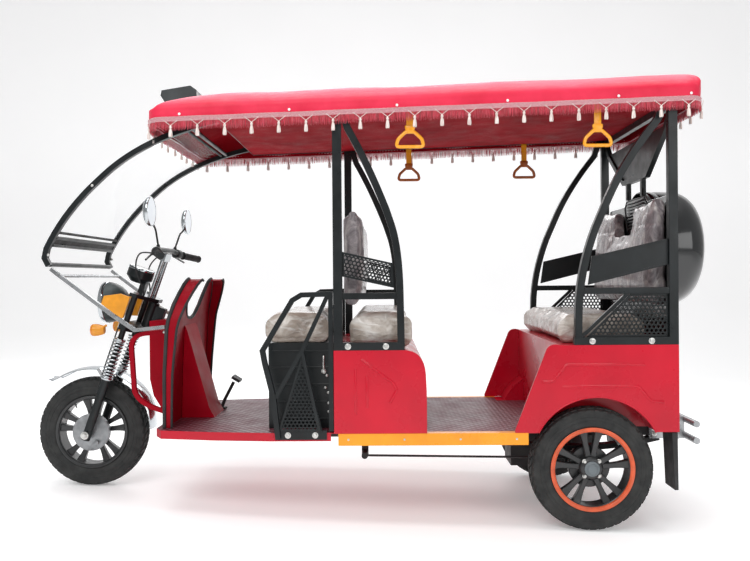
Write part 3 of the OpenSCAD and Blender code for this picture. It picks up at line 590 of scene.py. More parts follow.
# ================================================================== wheels
def wheel(node, body, cx, cy, cz, out, ring, cap):
    """cx, cy, cz in the body frame; out is the side the rim shows on (+1 or -1)"""
    T = lambda a, r, y: P(cx + r * math.cos(a), cy + out * y, cz + r * math.sin(a))
    g = Geo()
    seg = 96
    half = 47.0
    # tyre carcass: sidewall profile from bead to bead
    prof = [(158, 33), (163, 39), (168, 43.0), (176, 45.2), (186, 46.6), (197, 47.2), (200, 47.6), (203, 47.3), (214, 46.2), (224, 43.6), (227, 43.0),
            (231, 40.4), (234.8, 36), (237.2, 30), (238.6, 21), (239.0, 14), (237.0, 13.0), (237.0, 10.8), (239.4, 9.8), (239.8, 0)]
    prof = prof + [(r, -y) for r, y in prof[-2::-1]]
    vs = [T(2 * math.pi * k / seg, r, y) for r, y in prof for k in range(seg)]
    n = len(prof)
    fs = [(i * seg + k, i * seg + (k + 1) % seg, (i + 1) * seg + (k + 1) % seg, (i + 1) * seg + k) for i in range(n - 1) for k in range(seg)]
    g.add(vs, fs)
    # tread blocks: centre chevrons, shoulder lugs
    nb = 44
    for b in range(nb):
        a0 = 2 * math.pi * b / nb
        da = 2 * math.pi / nb
        for s in (-1, 1):
            for (u0, u1, y0, y1, sk, r0) in ((0.06, 0.80, 1.6, 10.2, 0.30, 244.6), (0.10, 0.86, 13.4, 30.0, 0.34, 243.6), (0.16, 0.74, 31.6, 43.2, 0.10, 239.0)):
                q = []
                for rr in (0, 1):
                    for uu, yy in ((u0, y0), (u1, y0), (u1, y1), (u0, y1)):
                        w = uu + sk * (yy - y0) / 12.0 * (1 if s > 0 else 1)
                        drop = 3.2 * max(0, (yy - 20) / 24.0) ** 1.6 * 1.9
                        base = 236.0 - 2.4 * drop if yy > 20 else 236.0
                        top = r0 - drop * 1.2 if yy < 40 else 233.4
                        c = 0.04 if rr else 0.0
                        uw = w + (c if uu == u0 else -c)
                        q.append(T(a0 + da * (uw + (0.5 if s < 0 else 0)), (base, top)[rr], s * (yy + (0.7 if rr and yy == y0 else -0.7 if rr else 0))))
                g.box(q)
    # fine sidewall ribs
    for rr, yy in ((207, 46.9), (192, 46.9)):
        for s in (-1, 1):
            pts = [T(2 * math.pi * k / 72, rr, s * yy) for k in range(72)]
            g.tube(pts, 0.0011, 5, closed=True)
    tyre = g.make(node + ".tyre", "tyre", body, True, "tyre", 32)

    # cast rim: barrel, flanges, five pairs of tapering spokes, hub
    g = Geo()
    prof = [(146, 0), (146, 36), (149, 38.5), (151, 43.6), (155, 45.4), (160, 46), (162.5, 45), (162.8, 42.6), (161, 40.5), (159, 38), (158, 33), (158, 0)]
    prof = prof + [(r, -y) for r, y in prof[-1:0:-1]]
    n = len(prof)
    vs = [T(2 * math.pi * k / seg, r, y) for r, y in prof for k in range(seg)]
    fs = [(i * seg + k, i * seg + (k + 1) % seg, ((i + 1) % n) * seg + (k + 1) % seg, ((i + 1) % n) * seg + k) for i in range(n) for k in range(seg)]
    g.add(vs, fs)
    for i in range(5):
        for s in (-1, 1):
            a = math.radians(i * 72 + s * 12 + 90)
            st = []
            for t in [j / 10 for j in range(11)]:
                r = 34 + t * 116
                w = 12.5 - 2.6 * math.sin(math.pi * t) + 5.0 * t ** 3
                h0 = 15 + 13 * t ** 3 if t > 0.0 else 15
                st.append((r, w, h0))
            for r, w, h0 in st:
                pass
            ring_pts = []
            for r, w, h0 in st:
                x0, z0 = r * math.cos(a), r * math.sin(a)
                tx, tz = -math.sin(a), math.cos(a)
                for yy, ww in ((h0 - 12, w), (h0 - 2.5, w), (h0, w - 2.5), (h0, -(w - 2.5)), (h0 - 2.5, -w), (h0 - 12, -w), (-8, -w + 1), (-8, w - 1)):
                    ring_pts.append(P(cx + x0 + tx * ww, cy + out * yy, cz + z0 + tz * ww))
            m = 8
            f2 = [(j * m + k, j * m + (k + 1) % m, (j + 1) * m + (k + 1) % m, (j + 1) * m + k) for j in range(len(st) - 1) for k in range(m)]
            f2 += [tuple(range(m)), tuple((len(st) - 1) * m + k for k in range(m))[::-1]]
            g.add(ring_pts, f2)
    g.lathe(P(cx, cy, cz), MR @ Vector((0, out, 0)), [(0.030, -0.032), (0.046, -0.032), (0.048, -0.029), (0.048, 0.010), (0.046, 0.024), (0.040, 0.031), (0.0355, 0.0335), (0.030, 0.034)] if cap else [(0.030, -0.032), (0.046, -0.032), (0.048, -0.029), (0.048, 0.010), (0.046, 0.0215), (0.042, 0.0262), (0.038, 0.0282), (0.030, 0.0285)], 40)
    rim = g.make(node + ".rim", "wheel", body, True, "tyre", 28)
    g = Geo()
    if ring:
        g.lathe(P(cx, cy, cz), MR @ Vector((0, out, 0)), [(0.1655, 0.0440), (0.1660, 0.0462), (0.1640, 0.0474), (0.1600, 0.0478), (0.1560, 0.0474), (0.1535, 0.0466), (0.1525, 0.0452), (0.1515, 0.0452), (0.1508, 0.0462), (0.1490, 0.0456), (0.1484, 0.0430), (0.1484, 0.0385), (0.150, 0.038), (0.157, 0.0440)], 96, closed=True)
        g.make(node + ".ring", "orange", body, True, "tyre", 40)
        g = Geo()
    if cap:
        g.lathe(P(cx, cy, cz), MR @ Vector((0, out, 0)), [(0.030, 0.030), (0.030, 0.0365), (0.0280, 0.0385), (0.0225, 0.0392), (0.0205, 0.0425), (0.0185, 0.0432), (0.0165, 0.0412), (0.0120, 0.0418), (0.002, 0.042)], 36)
        c = g.make(node + ".cap", "grey", body, True, "tyre", 40)
        g = Geo()
        for k in range(4):
            a = math.radians(45 + 90 * k)
            g.hexbolt(T(a, 40.0, 27.0), MR @ Vector((0, out, 0)), 0.0065, 0.0085)
        g.make(node + ".nuts", "bolt", body, True, "tyre", 30)
        g = Geo()
        # brake drum behind the spokes
        g.lathe(P(cx, cy, cz), MR @ Vector((0, out, 0)), [(0.030, -0.012), (0.080, -0.012), (0.083, -0.015), (0.083, -0.034), (0.078, -0.040), (0.030, -0.040)], 48)
        g.make(node + ".drum", "wheel", body, True, "tyre", 30)
    else:
        g.lathe(P(cx, cy, cz), MR @ Vector((0, out, 0)), [(0.0112, -0.0400), (0.026, -0.0395), (0.0298, -0.036), (0.0306, -0.030), (0.0306, -0.022), (0.0112, -0.022)], 32, closed=True)
        g.make(node + ".boss", "alloy", body, True, "tyre", 40)
    # valve stem
    g = Geo()
    a = math.radians(54)
    g.tube([T(a, 146, 6), T(a, 138, 12), T(a, 129, 20)], [0.0034, 0.0030, 0.0026], 8)
    g.make(node + ".valve", "rubber", body, True, "tyre", 30)
    return tyre


HY = {"front_wheel": ("front_wheel", WB, 0.0, R + DROP, 1, False, False), "rear_wheel_left": ("rear_wheel_left", 0.0, 417.5, R, 1, True, True),
      "rear_wheel_right": ("rear_wheel_right", 0.0, -417.5, R, -1, True, True)}
for node, (body, x, y, z, out, ring, cap) in HY.items():
    t = wheel(node, body, x, y, z, out, ring, cap)
    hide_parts(node)

# ================================================================== canopy: one continuous sheet on the roof frame
def smooth_path(pts, n):
    """points along a smooth curve through pts, x ascending (monotone cubic)"""
    xs, ys = [p[0] for p in pts], [p[1] for p in pts]
    d = [(ys[i + 1] - ys[i]) / (xs[i + 1] - xs[i]) for i in range(len(xs) - 1)]
    m = [d[0]] + [0 if d[i - 1] * d[i] <= 0 else 2 * d[i - 1] * d[i] / (d[i - 1] + d[i]) for i in range(1, len(d))] + [d[-1]]

    def at(x):
        x = min(max(x, xs[0]), xs[-1])
        i = max(j for j in range(len(xs) - 1) if xs[j] <= x)
        h = xs[i + 1] - xs[i]
        t = (x - xs[i]) / h
        return (2 * t ** 3 - 3 * t * t + 1) * ys[i] + (t ** 3 - 2 * t * t + t) * h * m[i] + (-2 * t ** 3 + 3 * t * t) * ys[i + 1] + (t ** 3 - t * t) * h * m[i + 1]
    return at


CX0, CX1, CW = -443.0, 1750.0, 500.0
crown_at = smooth_path([(-443, 80), (-432, 112), (-406, 141), (-362, 157), (-200, 162), (1100, 162), (1230, 160), (1420, 150), (1560, 122), (1690, 76), (1750, 44)], 0)
BOWS = [-322, 330, 998, 1468]


def canopy_h(x, y):
    a = min(1.0, abs(y) / CW)
    cr = 44 + 118 * max(0.0, 1 - a ** 2.4) ** (1 / 1.7)
    s = crown_at(x)
    k = 30.0
    h = min(cr, s) - max(k - abs(cr - s), 0.0) ** 2 / k / 4
    # the cloth sinks a little between the bows and pulls in folds towards its corners
    sag = 0.0
    for i in range(3):
        if BOWS[i] < x < BOWS[i + 1]:
            sag = 6.5 * math.sin(math.pi * (x - BOWS[i]) / (BOWS[i + 1] - BOWS[i])) ** 2 * (1 - a ** 3)
    wr = 2.4 * noise.noise(Vector((x * 0.006, y * 0.012, 3.1))) + 1.2 * noise.noise(Vector((x * 0.019, y * 0.024, 7.7)))
    edge = min(1.0, (CW - abs(y)) / 60.0, (x - CX0) / 60.0, (CX1 - x) / 60.0)
    wr += 2.0 * math.sin(y * 0.11 + x * 0.004) * max(0.0, 1 - (CX1 - x) / 260.0) * edge
    return h - sag + wr * max(0.0, edge)


def build_canopy():
    nx, ny = 132, 60
    bx = [0.5 - 0.5 * math.cos(math.pi * i / nx) for i in range(nx + 1)]
    by = [0.5 - 0.5 * math.cos(math.pi * i / ny) for i in range(ny + 1)]
    mix = lambda c, l: 0.62 * c + 0.38 * l
    xs = [CX0 + (CX1 - CX0) * mix(bx[i], i / nx) for i in range(nx + 1)]
    ys = [-CW + 2 * CW * mix(by[j], j / ny) for j in range(ny + 1)]

    def place(i, j, inset=0.0):
        x, y = xs[i], ys[j]
        # rounded plan corners
        rr = 72.0
        for ex, sx in ((CX0, -1), (CX1, 1)):
            for sy in (-1, 1):
                dx, dy = rr - abs(ex - x), rr - (CW - sy * y)
                if dx > 0 and dy > 0:
                    d = math.hypot(dx, dy)
                    m = max(dx, dy)
                    f = m / d
                    x = ex - sx * rr + sx * dx * f
                    y = sy * (CW - rr) + sy * dy * f
        return x, y

    verts, faces, grid = [], [], {}
    for i in range(nx + 1):
        for j in range(ny + 1):
            x, y = place(i, j)
            grid[i, j] = len(verts)
            verts.append((x, y, rim_z(x) + canopy_h(xs[i], ys[j])))
    for i in range(nx):
        for j in range(ny):
            faces.append((grid[i, j], grid[i + 1, j], grid[i + 1, j + 1], grid[i, j + 1]))
    loop = [(i, 0) for i in range(nx)] + [(nx, j) for j in range(ny)] + [(i, ny) for i in range(nx, 0, -1)] + [(0, j) for j in range(ny, 0, -1)]
    prev = [grid[q] for q in loop]
    hemline = []
    rows = 9
    for r in range(1, rows + 1):
        cur = []
        t = r / rows
        for k, q in enumerate(loop):
            x, y, z = verts[grid[q]]
            top = z - rim_z(x)
            h = top + (-6 - top) * t
            # outward normal of the loop, for the flutter of the hanging edge
            a, b = verts[grid[loop[k - 1]]], verts[grid[loop[(k + 1) % len(loop)]]]
            n = Vector((b[1] - a[1], -(b[0] - a[0]), 0)).normalized()
            f = (1.6 * math.sin(k * 0.42) + 2.2 * noise.noise(Vector((x * 0.01, y * 0.01, 1.3)))) * t ** 1.5 - 2.0 * t
            bulge = 2.2 * math.sin(math.pi * t) - 3.0
            if r == rows:
                hemline.append((x + n.x * f, y + n.y * f, rim_z(x) + h, n))
            cur.append(len(verts))
            verts.append((x + n.x * (f + bulge), y + n.y * (f + bulge), rim_z(x) + h))
        m = len(loop)
        for k in range(m):
            faces.append((prev[k], prev[(k + 1) % m], cur[(k + 1) % m], cur[k]))
        prev = cur
    vs = [P(*v) for v in verts]
    me = bpy.data.meshes.new("canopy.cloth")
    me.from_pydata(vs, [], faces)
    me.update()
    # drop the top's hard first edge by relaxing it a little
    bm = bmesh.new()
    bm.from_mesh(me)
    bmesh.ops.recalc_face_normals(bm, faces=bm.faces)
    inner = [v for v in bm.verts if not v.is_boundary]
    for _ in range(2):
        bmesh.ops.smooth_vert(bm, verts=inner, factor=0.5, use_axis_x=True, use_axis_y=True, use_axis_z=True)
    area = sum(f.calc_area() for f in bm.faces)
    bm.to_mesh(me)
    bm.free()
    ob = bpy.data.objects.new("canopy.cloth", me)
    bpy.context.scene.collection.objects.link(ob)
    # the inner faces of the cloth take the dark liner red: painted shade
    for mm in ("canopy", "shaded_liner"):
        me.materials.append(MATS[mm])
    so = ob.modifiers.new("thick", "SOLIDIFY")
    so.thickness, so.offset, so.material_offset, so.material_offset_rim = 0.0018, -1, 1, 0
    apply_mods(ob)
    for p in ob.data.polygons:
        p.use_smooth = True
    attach(ob, ROOT)
    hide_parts("canopy")
    return ob, hemline, area


canopy, hemline, canopy_area = build_canopy()

# trims: braid round the whole hem, thread fringe, and tassels
def build_trims():
    rnd = random.Random(7)
    n = len(hemline)
    pts = [Vector(h[:3]) for h in hemline]
    nor = [h[3] for h in hemline]
    dist = [0.0]
    for i in range(n):
        dist.append(dist[-1] + (pts[(i + 1) % n] - pts[i]).length)
    total = dist[-1]

    def at(s):
        s = s % total
        lo, hi = 0, n
        while hi - lo > 1:
            m = (lo + hi) // 2
            if dist[m] <= s:
                lo = m
            else:
                hi = m
        t = (s - dist[lo]) / max(1e-9, dist[lo + 1] - dist[lo])
        p = pts[lo].lerp(pts[(lo + 1) % n], t)
        q = nor[lo].lerp(nor[(lo + 1) % n], t).normalized()
        return p, q

    # braid: a soft flat cord with two rolled edges
    g = Geo()
    prof = [(-2.2, -7), (-0.6, -9.5), (1.4, -10), (2.9, -8.4), (3.1, -5.6), (2.0, -3.4), (1.8, 0.5), (2.2, 3.4), (3.3, 5.0), (3.0, 8.0), (1.3, 9.4), (-0.9, 8.8), (-2.2, 6.5)]
    m = len(prof)
    N2 = 1800
    vs = []
    for k in range(N2):
        p, q = at(total * k / N2)
        tw = 2 * math.pi * round(total / 15) * k / N2
        for o, h in prof:
            f = 1 + 0.30 * math.sin(tw + h * 0.33)
            vs.append(P(p.x + q.x * (o * f - 0.8), p.y + q.y * (o * f - 0.8), p.z + h * (1 + 0.05 * math.sin(tw)) + 5))
    fs = [(k * m + i, k * m + (i + 1) % m, ((k + 1) % N2) * m + (i + 1) % m, ((k + 1) % N2) * m + i) for k in range(N2) for i in range(m)]
    g.add(vs, fs)
    braid = g.make("canopy.braid", "braid", ROOT, True, "canopy_cloth", 180)
    # fringe: strands side by side, each a little different
    g = Geo()
    step = 2.35
    cnt = int(total / step)
    for k in range(cnt):
        s = k * step + rnd.uniform(-0.5, 0.5)
        p, q = at(s)
        t = Vector((-q.y, q.x, 0))
        L = 37 + rnd.uniform(-3, 3) + 1.5 * math.sin(s * 0.02)
        w = rnd.uniform(0.95, 1.4)
        lean = rnd.uniform(-2.2, 2.2)
        out = rnd.uniform(-1.2, 1.2)
        ring = []
        for (f, ww) in ((0, w), (0.55, w * 1.05), (1.0, w * 0.45)):
            c = Vector((p.x, p.y, p.z - 2 - L * f)) + t * lean * f * f + q * out * f
            for a in (0, 2.094, 4.189):
                ring.append(P(*(c + t * ww * math.cos(a + k) + q * ww * math.sin(a + k))))
        g.add(ring, [(j * 3 + i, j * 3 + (i + 1) % 3, (j + 1) * 3 + (i + 1) % 3, (j + 1) * 3 + i) for j in range(2) for i in range(3)] + [(6, 7, 8)])
    fringe = g.make("canopy.fringe", "fringe", ROOT, True, "canopy_cloth", 180)
    g = Geo()
    per = int(total / 105.0)
    for k in range(per):
        p, q = at((k + 0.35) * total / per)
        c = Vector((p.x, p.y, p.z)) + q * 3.4
        t = Vector((-q.y, q.x, 0))
        # two cords in a V, a bound head and a skirt of pleated thread
        for e in (-1, 1):
            v = [c + t * e * 27 + Vector((0, 0, 1)), c + t * e * 21 + q * 0.6 + Vector((0, 0, -5)), c + t * e * 11 + q * 0.9 + Vector((0, 0, -12.5)), c + t * e * 3 + q * 0.6 + Vector((0, 0, -19)), c + Vector((0, 0, -25))]
            g.tube([P(*w) for w in v], 0.0013, 6)
        pr = [(1.6, -19), (1.8, -22), (4.4, -23.5), (5.7, -27), (5.3, -30.5), (3.2, -32.5), (3.7, -34.5), (5.4, -40), (6.5, -49), (7.2, -60), (6.4, -65), (1.0, -64)]
        seg = 16
        ring = []
        for r, h in pr:
            for i in range(seg):
                a = 2 * math.pi * i / seg
                rr = r * (1 + (0.13 * (1 if i % 2 else -1) if h < -34 else 0))
                ring.append(P(*(c + t * rr * math.cos(a) + q * min(rr * math.sin(a), 7.0) * 0.8 + Vector((0, 0, h + (rnd.uniform(-1.8, 1.8) if h < -58 else 0))))))
        g.add(ring, [(j * seg + i, j * seg + (i + 1) % seg, (j + 1) * seg + (i + 1) % seg, (j + 1) * seg + i) for j in range(len(pr) - 1) for i in range(seg)] + [tuple(range(seg))[::-1], tuple((len(pr) - 1) * seg + i for i in range(seg))])
    tassels = g.make("canopy.tassels", "tassel", ROOT, True, "canopy_cloth", 50)
    # press buttons that hold the trim over the frame
    g = Geo()
    for x in (1610, 1180, 760, 330, -100, -380):
        for s in (-1, 1):
            g.dome(P(x, s * 500.2, rim_z(x) + 17), MR @ Vector((0, s, 0)), 0.0055, 0.0035)
    g.make("canopy.buttons", "white", ROOT, True, "canopy_cloth", 60)
    return [braid, fringe, tassels]


trims = build_trims()


# ================================================================== cushions
def cushion(node, mat, cap, press=4.0, groove=None, seams=None, name=None, voxel=0.006, shrink=0.006, fill=0.65, flat_axis=None):
    src = N[node]
    lo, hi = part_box(node)
    me = src.data.copy()
    ob = bpy.data.objects.new(node + ".pad", me)
    bpy.context.scene.collection.objects.link(ob)
    # a slightly smaller start shape
    c = (lo + hi) / 2
    for v in me.vertices:
        d = v.co - c
        for a in range(3):
            h = (hi[a] - lo[a]) / 2
            d[a] *= (h - shrink) / h
        v.co = c + d
    ob.data.materials.clear()
    rm = ob.modifiers.new("remesh", "REMESH")
    rm.mode, rm.voxel_size = "VOXEL", voxel
    apply_mods(ob)
    base = [v.co.copy() for v in ob.data.vertices]
    cl = ob.modifiers.new("cloth", "CLOTH")
    st = cl.settings
    st.use_pressure = True
    st.uniform_pressure_force = press
    st.tension_stiffness = st.compression_stiffness = 14
    st.shear_stiffness, st.bending_stiffness = 8, 0.35
    st.mass = 0.22
    st.quality = 4
    st.effector_weights.gravity = 0
    cl.collision_settings.use_collision = False
    cl.collision_settings.use_self_collision = False
    cl.point_cache.frame_start, cl.point_cache.frame_end = 1, 20
    sc = bpy.context.scene
    for f in range(1, 21):
        sc.frame_set(f)
    dg = bpy.context.evaluated_depsgraph_get()
    ev = ob.evaluated_get(dg)
    moved = [v.co.copy() for v in ev.data.vertices]
    ob.modifiers.clear()
    for v, b, n in zip(ob.data.vertices, base, moved):
        d = n - b
        if d.length > cap:
            d = d * (cap / d.length)
        v.co = b + d
    sc.frame_set(1)
    return ob, base


def body_xyz(v):
    """row metres back to the body frame's millimetres"""
    q = Vector((v.x * 1000 - XS, v.y * 1000, v.z * 1000 - LIFT))
    return Vector((q.x * CP - q.z * SP, q.y, q.x * SP + q.z * CP))


def finish_pad(ob, base, node, mat, box, wrinkle, seams, keep_low=True, name=None):
    """settles a pad on what holds it, adds the sewn lines and the film's creases, then one subdivision"""
    x0, x1, yh, z0, z1 = box
    for v in ob.data.vertices:
        q = body_xyz(v.co)
        n = v.normal
        w = wrinkle * (abs(noise.noise(Vector((q.x * 0.012, q.y * 0.010, q.z * 0.013 + len(node))))) - 0.22)
        w += wrinkle * 0.5 * (abs(noise.noise(Vector((q.x * 0.031 + 5, q.y * 0.024, q.z * 0.030)))) - 0.2)
        for f in seams:
            w += f(q)
        q = body_xyz(v.co + n * (w / 1000))
        q.x = min(max(q.x, x0 + 0.3), x1 - 0.3)
        q.y = min(max(q.y, -yh + 0.3), yh - 0.3)
        q.z = max(q.z, z0 + 0.2)
        q.z = min(q.z, z1)
        v.co = P(q.x, q.y, q.z)
    ss = ob.modifiers.new("sub", "SUBSURF")
    ss.levels = ss.render_levels = 1
    apply_mods(ob)
    me = ob.data
    me.materials.clear()
    me.materials.append(MATS[mat])
    for p in me.polygons:
        p.use_smooth = True
    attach(ob, ROOT)
    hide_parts(node)
    return ob


def line_groove(axis, at, depth, width):
    """a sewn line: a soft narrow valley where the coordinate passes a place"""
    return lambda q: -depth * math.exp(-((getattr(q, axis) - at) / width) ** 2)


def cross_tufts(ys, depth, width, zmin):
    return lambda q: -sum(depth * math.exp(-((q.y - y) / width) ** 2) for y in ys) if q.z > zmin else 0.0


VOX = 0.009
pads = []
ob, base = cushion("driver_cushion", "seat", 0.022, 4.0, voxel=VOX, shrink=0.016)
pads.append(finish_pad(ob, base, "driver_cushion", "seat", (1012, 1324, 410, 744.2, 868), 6.0, [line_groove("z", 762, 5, 5)]))
ob, base = cushion("middle_cushion", "seat", 0.024, 4.0, voxel=VOX, shrink=0.018)
pads.append(finish_pad(ob, base, "middle_cushion", "seat", (680, 977.6, 447, 722.2, 872), 6.5, [line_groove("z", 744, 5, 5)]))
ob, base = cushion("middle_backrest", "seat_back", 0.022, 4.0, voxel=VOX, shrink=0.016)
pads.append(finish_pad(ob, base, "middle_backrest", "seat_back", (896, 979.4, 434, 870.2, 1312), 6.0, [line_groove("z", 1262, 4, 6)]))
ob, base = cushion("rear_cushion", "seat", 0.024, 4.0, voxel=VOX, shrink=0.018)
pads.append(finish_pad(ob, base, "rear_cushion", "seat", (-256, 146, 447, 737.2, 855.4), 6.5, [line_groove("z", 760, 5, 5)]))
ob, base = cushion("rear_backrest", "seat_back", 0.022, 4.0, voxel=VOX, shrink=0.014)
pads.append(finish_pad(ob, base, "rear_backrest", "seat_back", (-321.6, -234, 440, 856.2, 1338), 6.0, [line_groove("z", 1216, 4, 7)]))


# ================================================================== lattices
def clip_seg(a, b, poly):
    """the parts of segment a-b inside a convex polygon (counter-clockwise or clockwise)"""
    ar = sum(poly[i][0] * poly[(i + 1) % len(poly)][1] - poly[(i + 1) % len(poly)][0] * poly[i][1] for i in range(len(poly)))
    t0, t1 = 0.0, 1.0
    dx, dy = b[0] - a[0], b[1] - a[1]
    for i in range(len(poly)):
        p, q = poly[i], poly[(i + 1) % len(poly)]
        nx, ny = -(q[1] - p[1]), q[0] - p[0]
        if ar < 0:
            nx, ny = -nx, -ny
        num = (a[0] - p[0]) * nx + (a[1] - p[1]) * ny
        den = dx * nx + dy * ny
        if abs(den) < 1e-9:
            if num < 0:
                return None
            continue
        t = -num / den
        if den > 0:
            t0 = max(t0, t)
        else:
            t1 = min(t1, t)
    if t1 - t0 < 1e-6:
        return None
    return (a[0] + dx * t0, a[1] + dy * t0), (a[0] + dx * t1, a[1] + dy * t1)


def inset_poly(poly, d):
    n = len(poly)
    ar = sum(poly[i][0] * poly[(i + 1) % n][1] - poly[(i + 1) % n][0] * poly[i][1] for i in range(n))
    s = 1 if ar > 0 else -1
    out = []
    for i in range(n):
        p0, p1, p2 = Vector(poly[i - 1]), Vector(poly[i]), Vector(poly[(i + 1) % n])
        a, b = (p1 - p0).normalized(), (p2 - p1).normalized()
        n1, n2 = Vector((-a.y, a.x)) * s, Vector((-b.y, b.x)) * s
        m = n1 + n2
        m = m * (2 / m.length_squared)
        out.append(tuple(p1 + m * d))
    return out


def lattice(g, poly, y0, y1, border, pitch, w, turn=0.0, hexes=True):
    """a cut sheet: a border strip and a star pattern, in the body frame's X, Z"""
    inner = inset_poly(poly, border)
    n = len(poly)
    for i in range(n):
        q = [poly[i], poly[(i + 1) % n], inner[(i + 1) % n], inner[i]]
        g.box([P(x, y0, z) for x, z in q] + [P(x, y1, z) for x, z in q])
    cx, cz = sum(p[0] for p in poly) / n, sum(p[1] for p in poly) / n
    keep = inset_poly(poly, border * 0.6)
    k = 0
    for fam in range(3):
        a = turn + fam * math.pi / 3
        d, m = Vector((math.cos(a), math.sin(a))), Vector((-math.sin(a), math.cos(a)))
        for i in range(-60, 61):
            o = Vector((cx, cz)) + m * (i * pitch + pitch * 0.5)
            s = clip_seg(tuple(o - d * 900), tuple(o + d * 900), keep)
            if not s:
                continue
            p, q = Vector(s[0]), Vector(s[1])
            e = 0.12 * (fam + 1)
            r = [p - m * w / 2, q - m * w / 2, q + m * w / 2, p + m * w / 2]
            g.box([P(v.x, y0 + e, v.y) for v in r] + [P(v.x, y1 - e, v.y) for v in r])


def panels():
    g = Geo()
    for s in (1, -1):
        y0, y1 = s * 463, s * 467
        lattice(g, [(979.8, 1110), (782, 1064), (776, 966), (979.8, 1012)], y0, y1, 8, 14.0, 3.6, 0.22)
        lattice(g, [(-297.8, 767.2), (22, 767.2), (-150, 935.8), (-297.8, 935.8)], y0, y1, 9, 15.0, 3.9, 0.0)
    a = g.make("lattice_panels.cut", "black", ROOT, False, "black_steel")
    g = Geo()
    for s in (1, -1):
        band = [(-297.8, 1050), (16, 972), (0, 1084), (-297.8, 1152)]
        g.slab(band, s * 462, s * 467.2)
        # a turned edge round the blank band
        inner = inset_poly(band, 7)
        for i in range(4):
            q = [band[i], band[(i + 1) % 4], inner[(i + 1) % 4], inner[i]]
            g.box([P(x, s * 467.0, z) for x, z in q] + [P(x, s * 468.6, z) for x, z in q])
    b = g.make("lattice_panels.band", "black", ROOT, False, "black_steel")
    for o in (a, b):
        bv = o.modifiers.new("bevel", "BEVEL")
        bv.width, bv.segments, bv.limit_method = 0.0006, 1, "ANGLE"
        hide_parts("lattice_panels")


panels()


def armrests():
    src = N["armrest_frames"]
    me = src.data.copy()
    bm = bmesh.new()
    bm.from_mesh(me)
    bmesh.ops.remove_doubles(bm, verts=bm.verts, dist=0.00002)
    dead = []
    for f in bm.faces:
        ys = [abs(body_xyz(v.co).y) for v in f.verts]
        if all(abs(y - 462) < 0.05 for y in ys) or all(abs(y - 466) < 0.05 for y in ys):
            dead.append(f)
    bmesh.ops.delete(bm, geom=dead, context="FACES")
    bm.to_mesh(me)
    bm.free()
    o = obj_me("armrest_frames.tube", me, "black", ROOT, True, 30)
    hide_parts("armrest_frames")
    bv = o.modifiers.new("bevel", "BEVEL")
    bv.width, bv.segments, bv.limit_method, bv.angle_limit = 0.0016, 2, "ANGLE", math.radians(30)
    g = Geo()
    for s in (1, -1):
        lattice(g, [(1140, 712), (1238, 402), (1062, 402)], s * 461.6, s * 466.4, 9, 13.5, 3.6, 0.0)
    c = g.make("armrest_frames.lattice", "black", ROOT, False, "black_steel")
    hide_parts("armrest_frames")
    bv = c.modifiers.new("bevel", "BEVEL")
    bv.width, bv.segments, bv.limit_method = 0.0006, 1, "ANGLE"


armrests()

# ================================================================== steering pieces
FORK = MB @ Matrix.Translation((WB, 0, R + DROP)) @ Matrix.Rotation(math.radians(-19.65), 4, "Y")
FR = MR @ Matrix.Rotation(math.radians(-19.65), 3, "Y")
F = lambda x, y, z: FORK @ Vector((x, y, z))

g = Geo()
for s in (1, -1):
    turns, n = 11, 11 * 26
    pts = []
    for k in range(n + 1):
        t = k / n
        a = 2 * math.pi * turns * t
        # closed end coils, open middle
        z = 270 + 174 * (t + 0.035 * math.sin(2 * math.pi * t) * -1)
        pts.append(F(20.6 * math.cos(a), s * 95 + 20.6 * math.sin(a), z))
    g.tube(pts, 0.0044, 10)
springs = g.make("fork_springs.coils", "chrome", STEER, True, "bright_pipe", 60)
g = Geo()
for s in (1, -1):
    for z0, z1 in ((258, 270), (440, 450)):
        g.lathe(F(0, s * 95, z0), FR @ Vector((0, 0, 1)), [(0.0134, 0), (0.0250, 0), (0.0262, 0.0015), (0.0262, (z1 - z0) / 1000 - 0.0015), (0.0250, (z1 - z0) / 1000), (0.0134, (z1 - z0) / 1000)], 32, closed=True)
caps = g.make("fork_springs.cups", "chrome", STEER, True, "bright_pipe", 40)
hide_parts("fork_springs")
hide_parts("fork_springs")
tune("handlebar", "black", 0.0012)

# grips, switch blocks, dial
g = Geo()
gl = Geo()
for s in (1, -1):
    a, b = Vector((1785.5, s * 204.0, 1120.6)), Vector((1738.6, s * 328.5, 1106.2))
    d = (b - a).normalized()
    L = (b - a).length
    prof = [(0.0122, 0.0)]
    k = 0
    prof += [(0.0185, 0.0005), (0.0195, 0.003), (0.0185, 0.0055), (0.0158, 0.007)]
    x = 0.010
    while x < L / 1000 - 0.008:
        prof += [(0.0152, x), (0.0162, x + 0.0012), (0.0162, x + 0.0034), (0.0152, x + 0.0044)]
        x += 0.0062
    prof += [(0.0168, L / 1000 - 0.005), (0.0176, L / 1000 - 0.002), (0.0150, L / 1000 + 0.0005), (0.004, L / 1000 + 0.001)]
    g.lathe(P(*a), MR @ d, prof, 28)
    c = Vector((1800, s * 172.0, 1128.0))
    gl.lathe(P(*(c - d * 20)), MR @ d, [(0.0135, 0), (0.0205, 0.001), (0.0215, 0.005), (0.0215, 0.030), (0.0200, 0.034), (0.0135, 0.035)], 20)
grips = g.make("handlebar.grips", "rubber", STEER, True, "black_plastic", 50)
sw = gl.make("handlebar.switches", "plastic", STEER, True, "black_plastic", 40)
g = Geo()
ax = FR @ Vector((0, 0, 1))
c = P(1930, 0, 1016)
g.lathe(c, ax, [(0.0595, 0.036), (0.0600, 0.043), (0.0585, 0.0465), (0.0555, 0.0475), (0.0530, 0.0460), (0.0525, 0.0440)], 48, closed=False)
g.make("handlebar.bezel", "chrome", STEER, True, "bright_pipe", 40)
g = Geo()
g.lathe(c, ax, [(0.052, 0.0445), (0.052, 0.0462), (0.040, 0.0484), (0.020, 0.0494), (0.002, 0.0497)], 48)
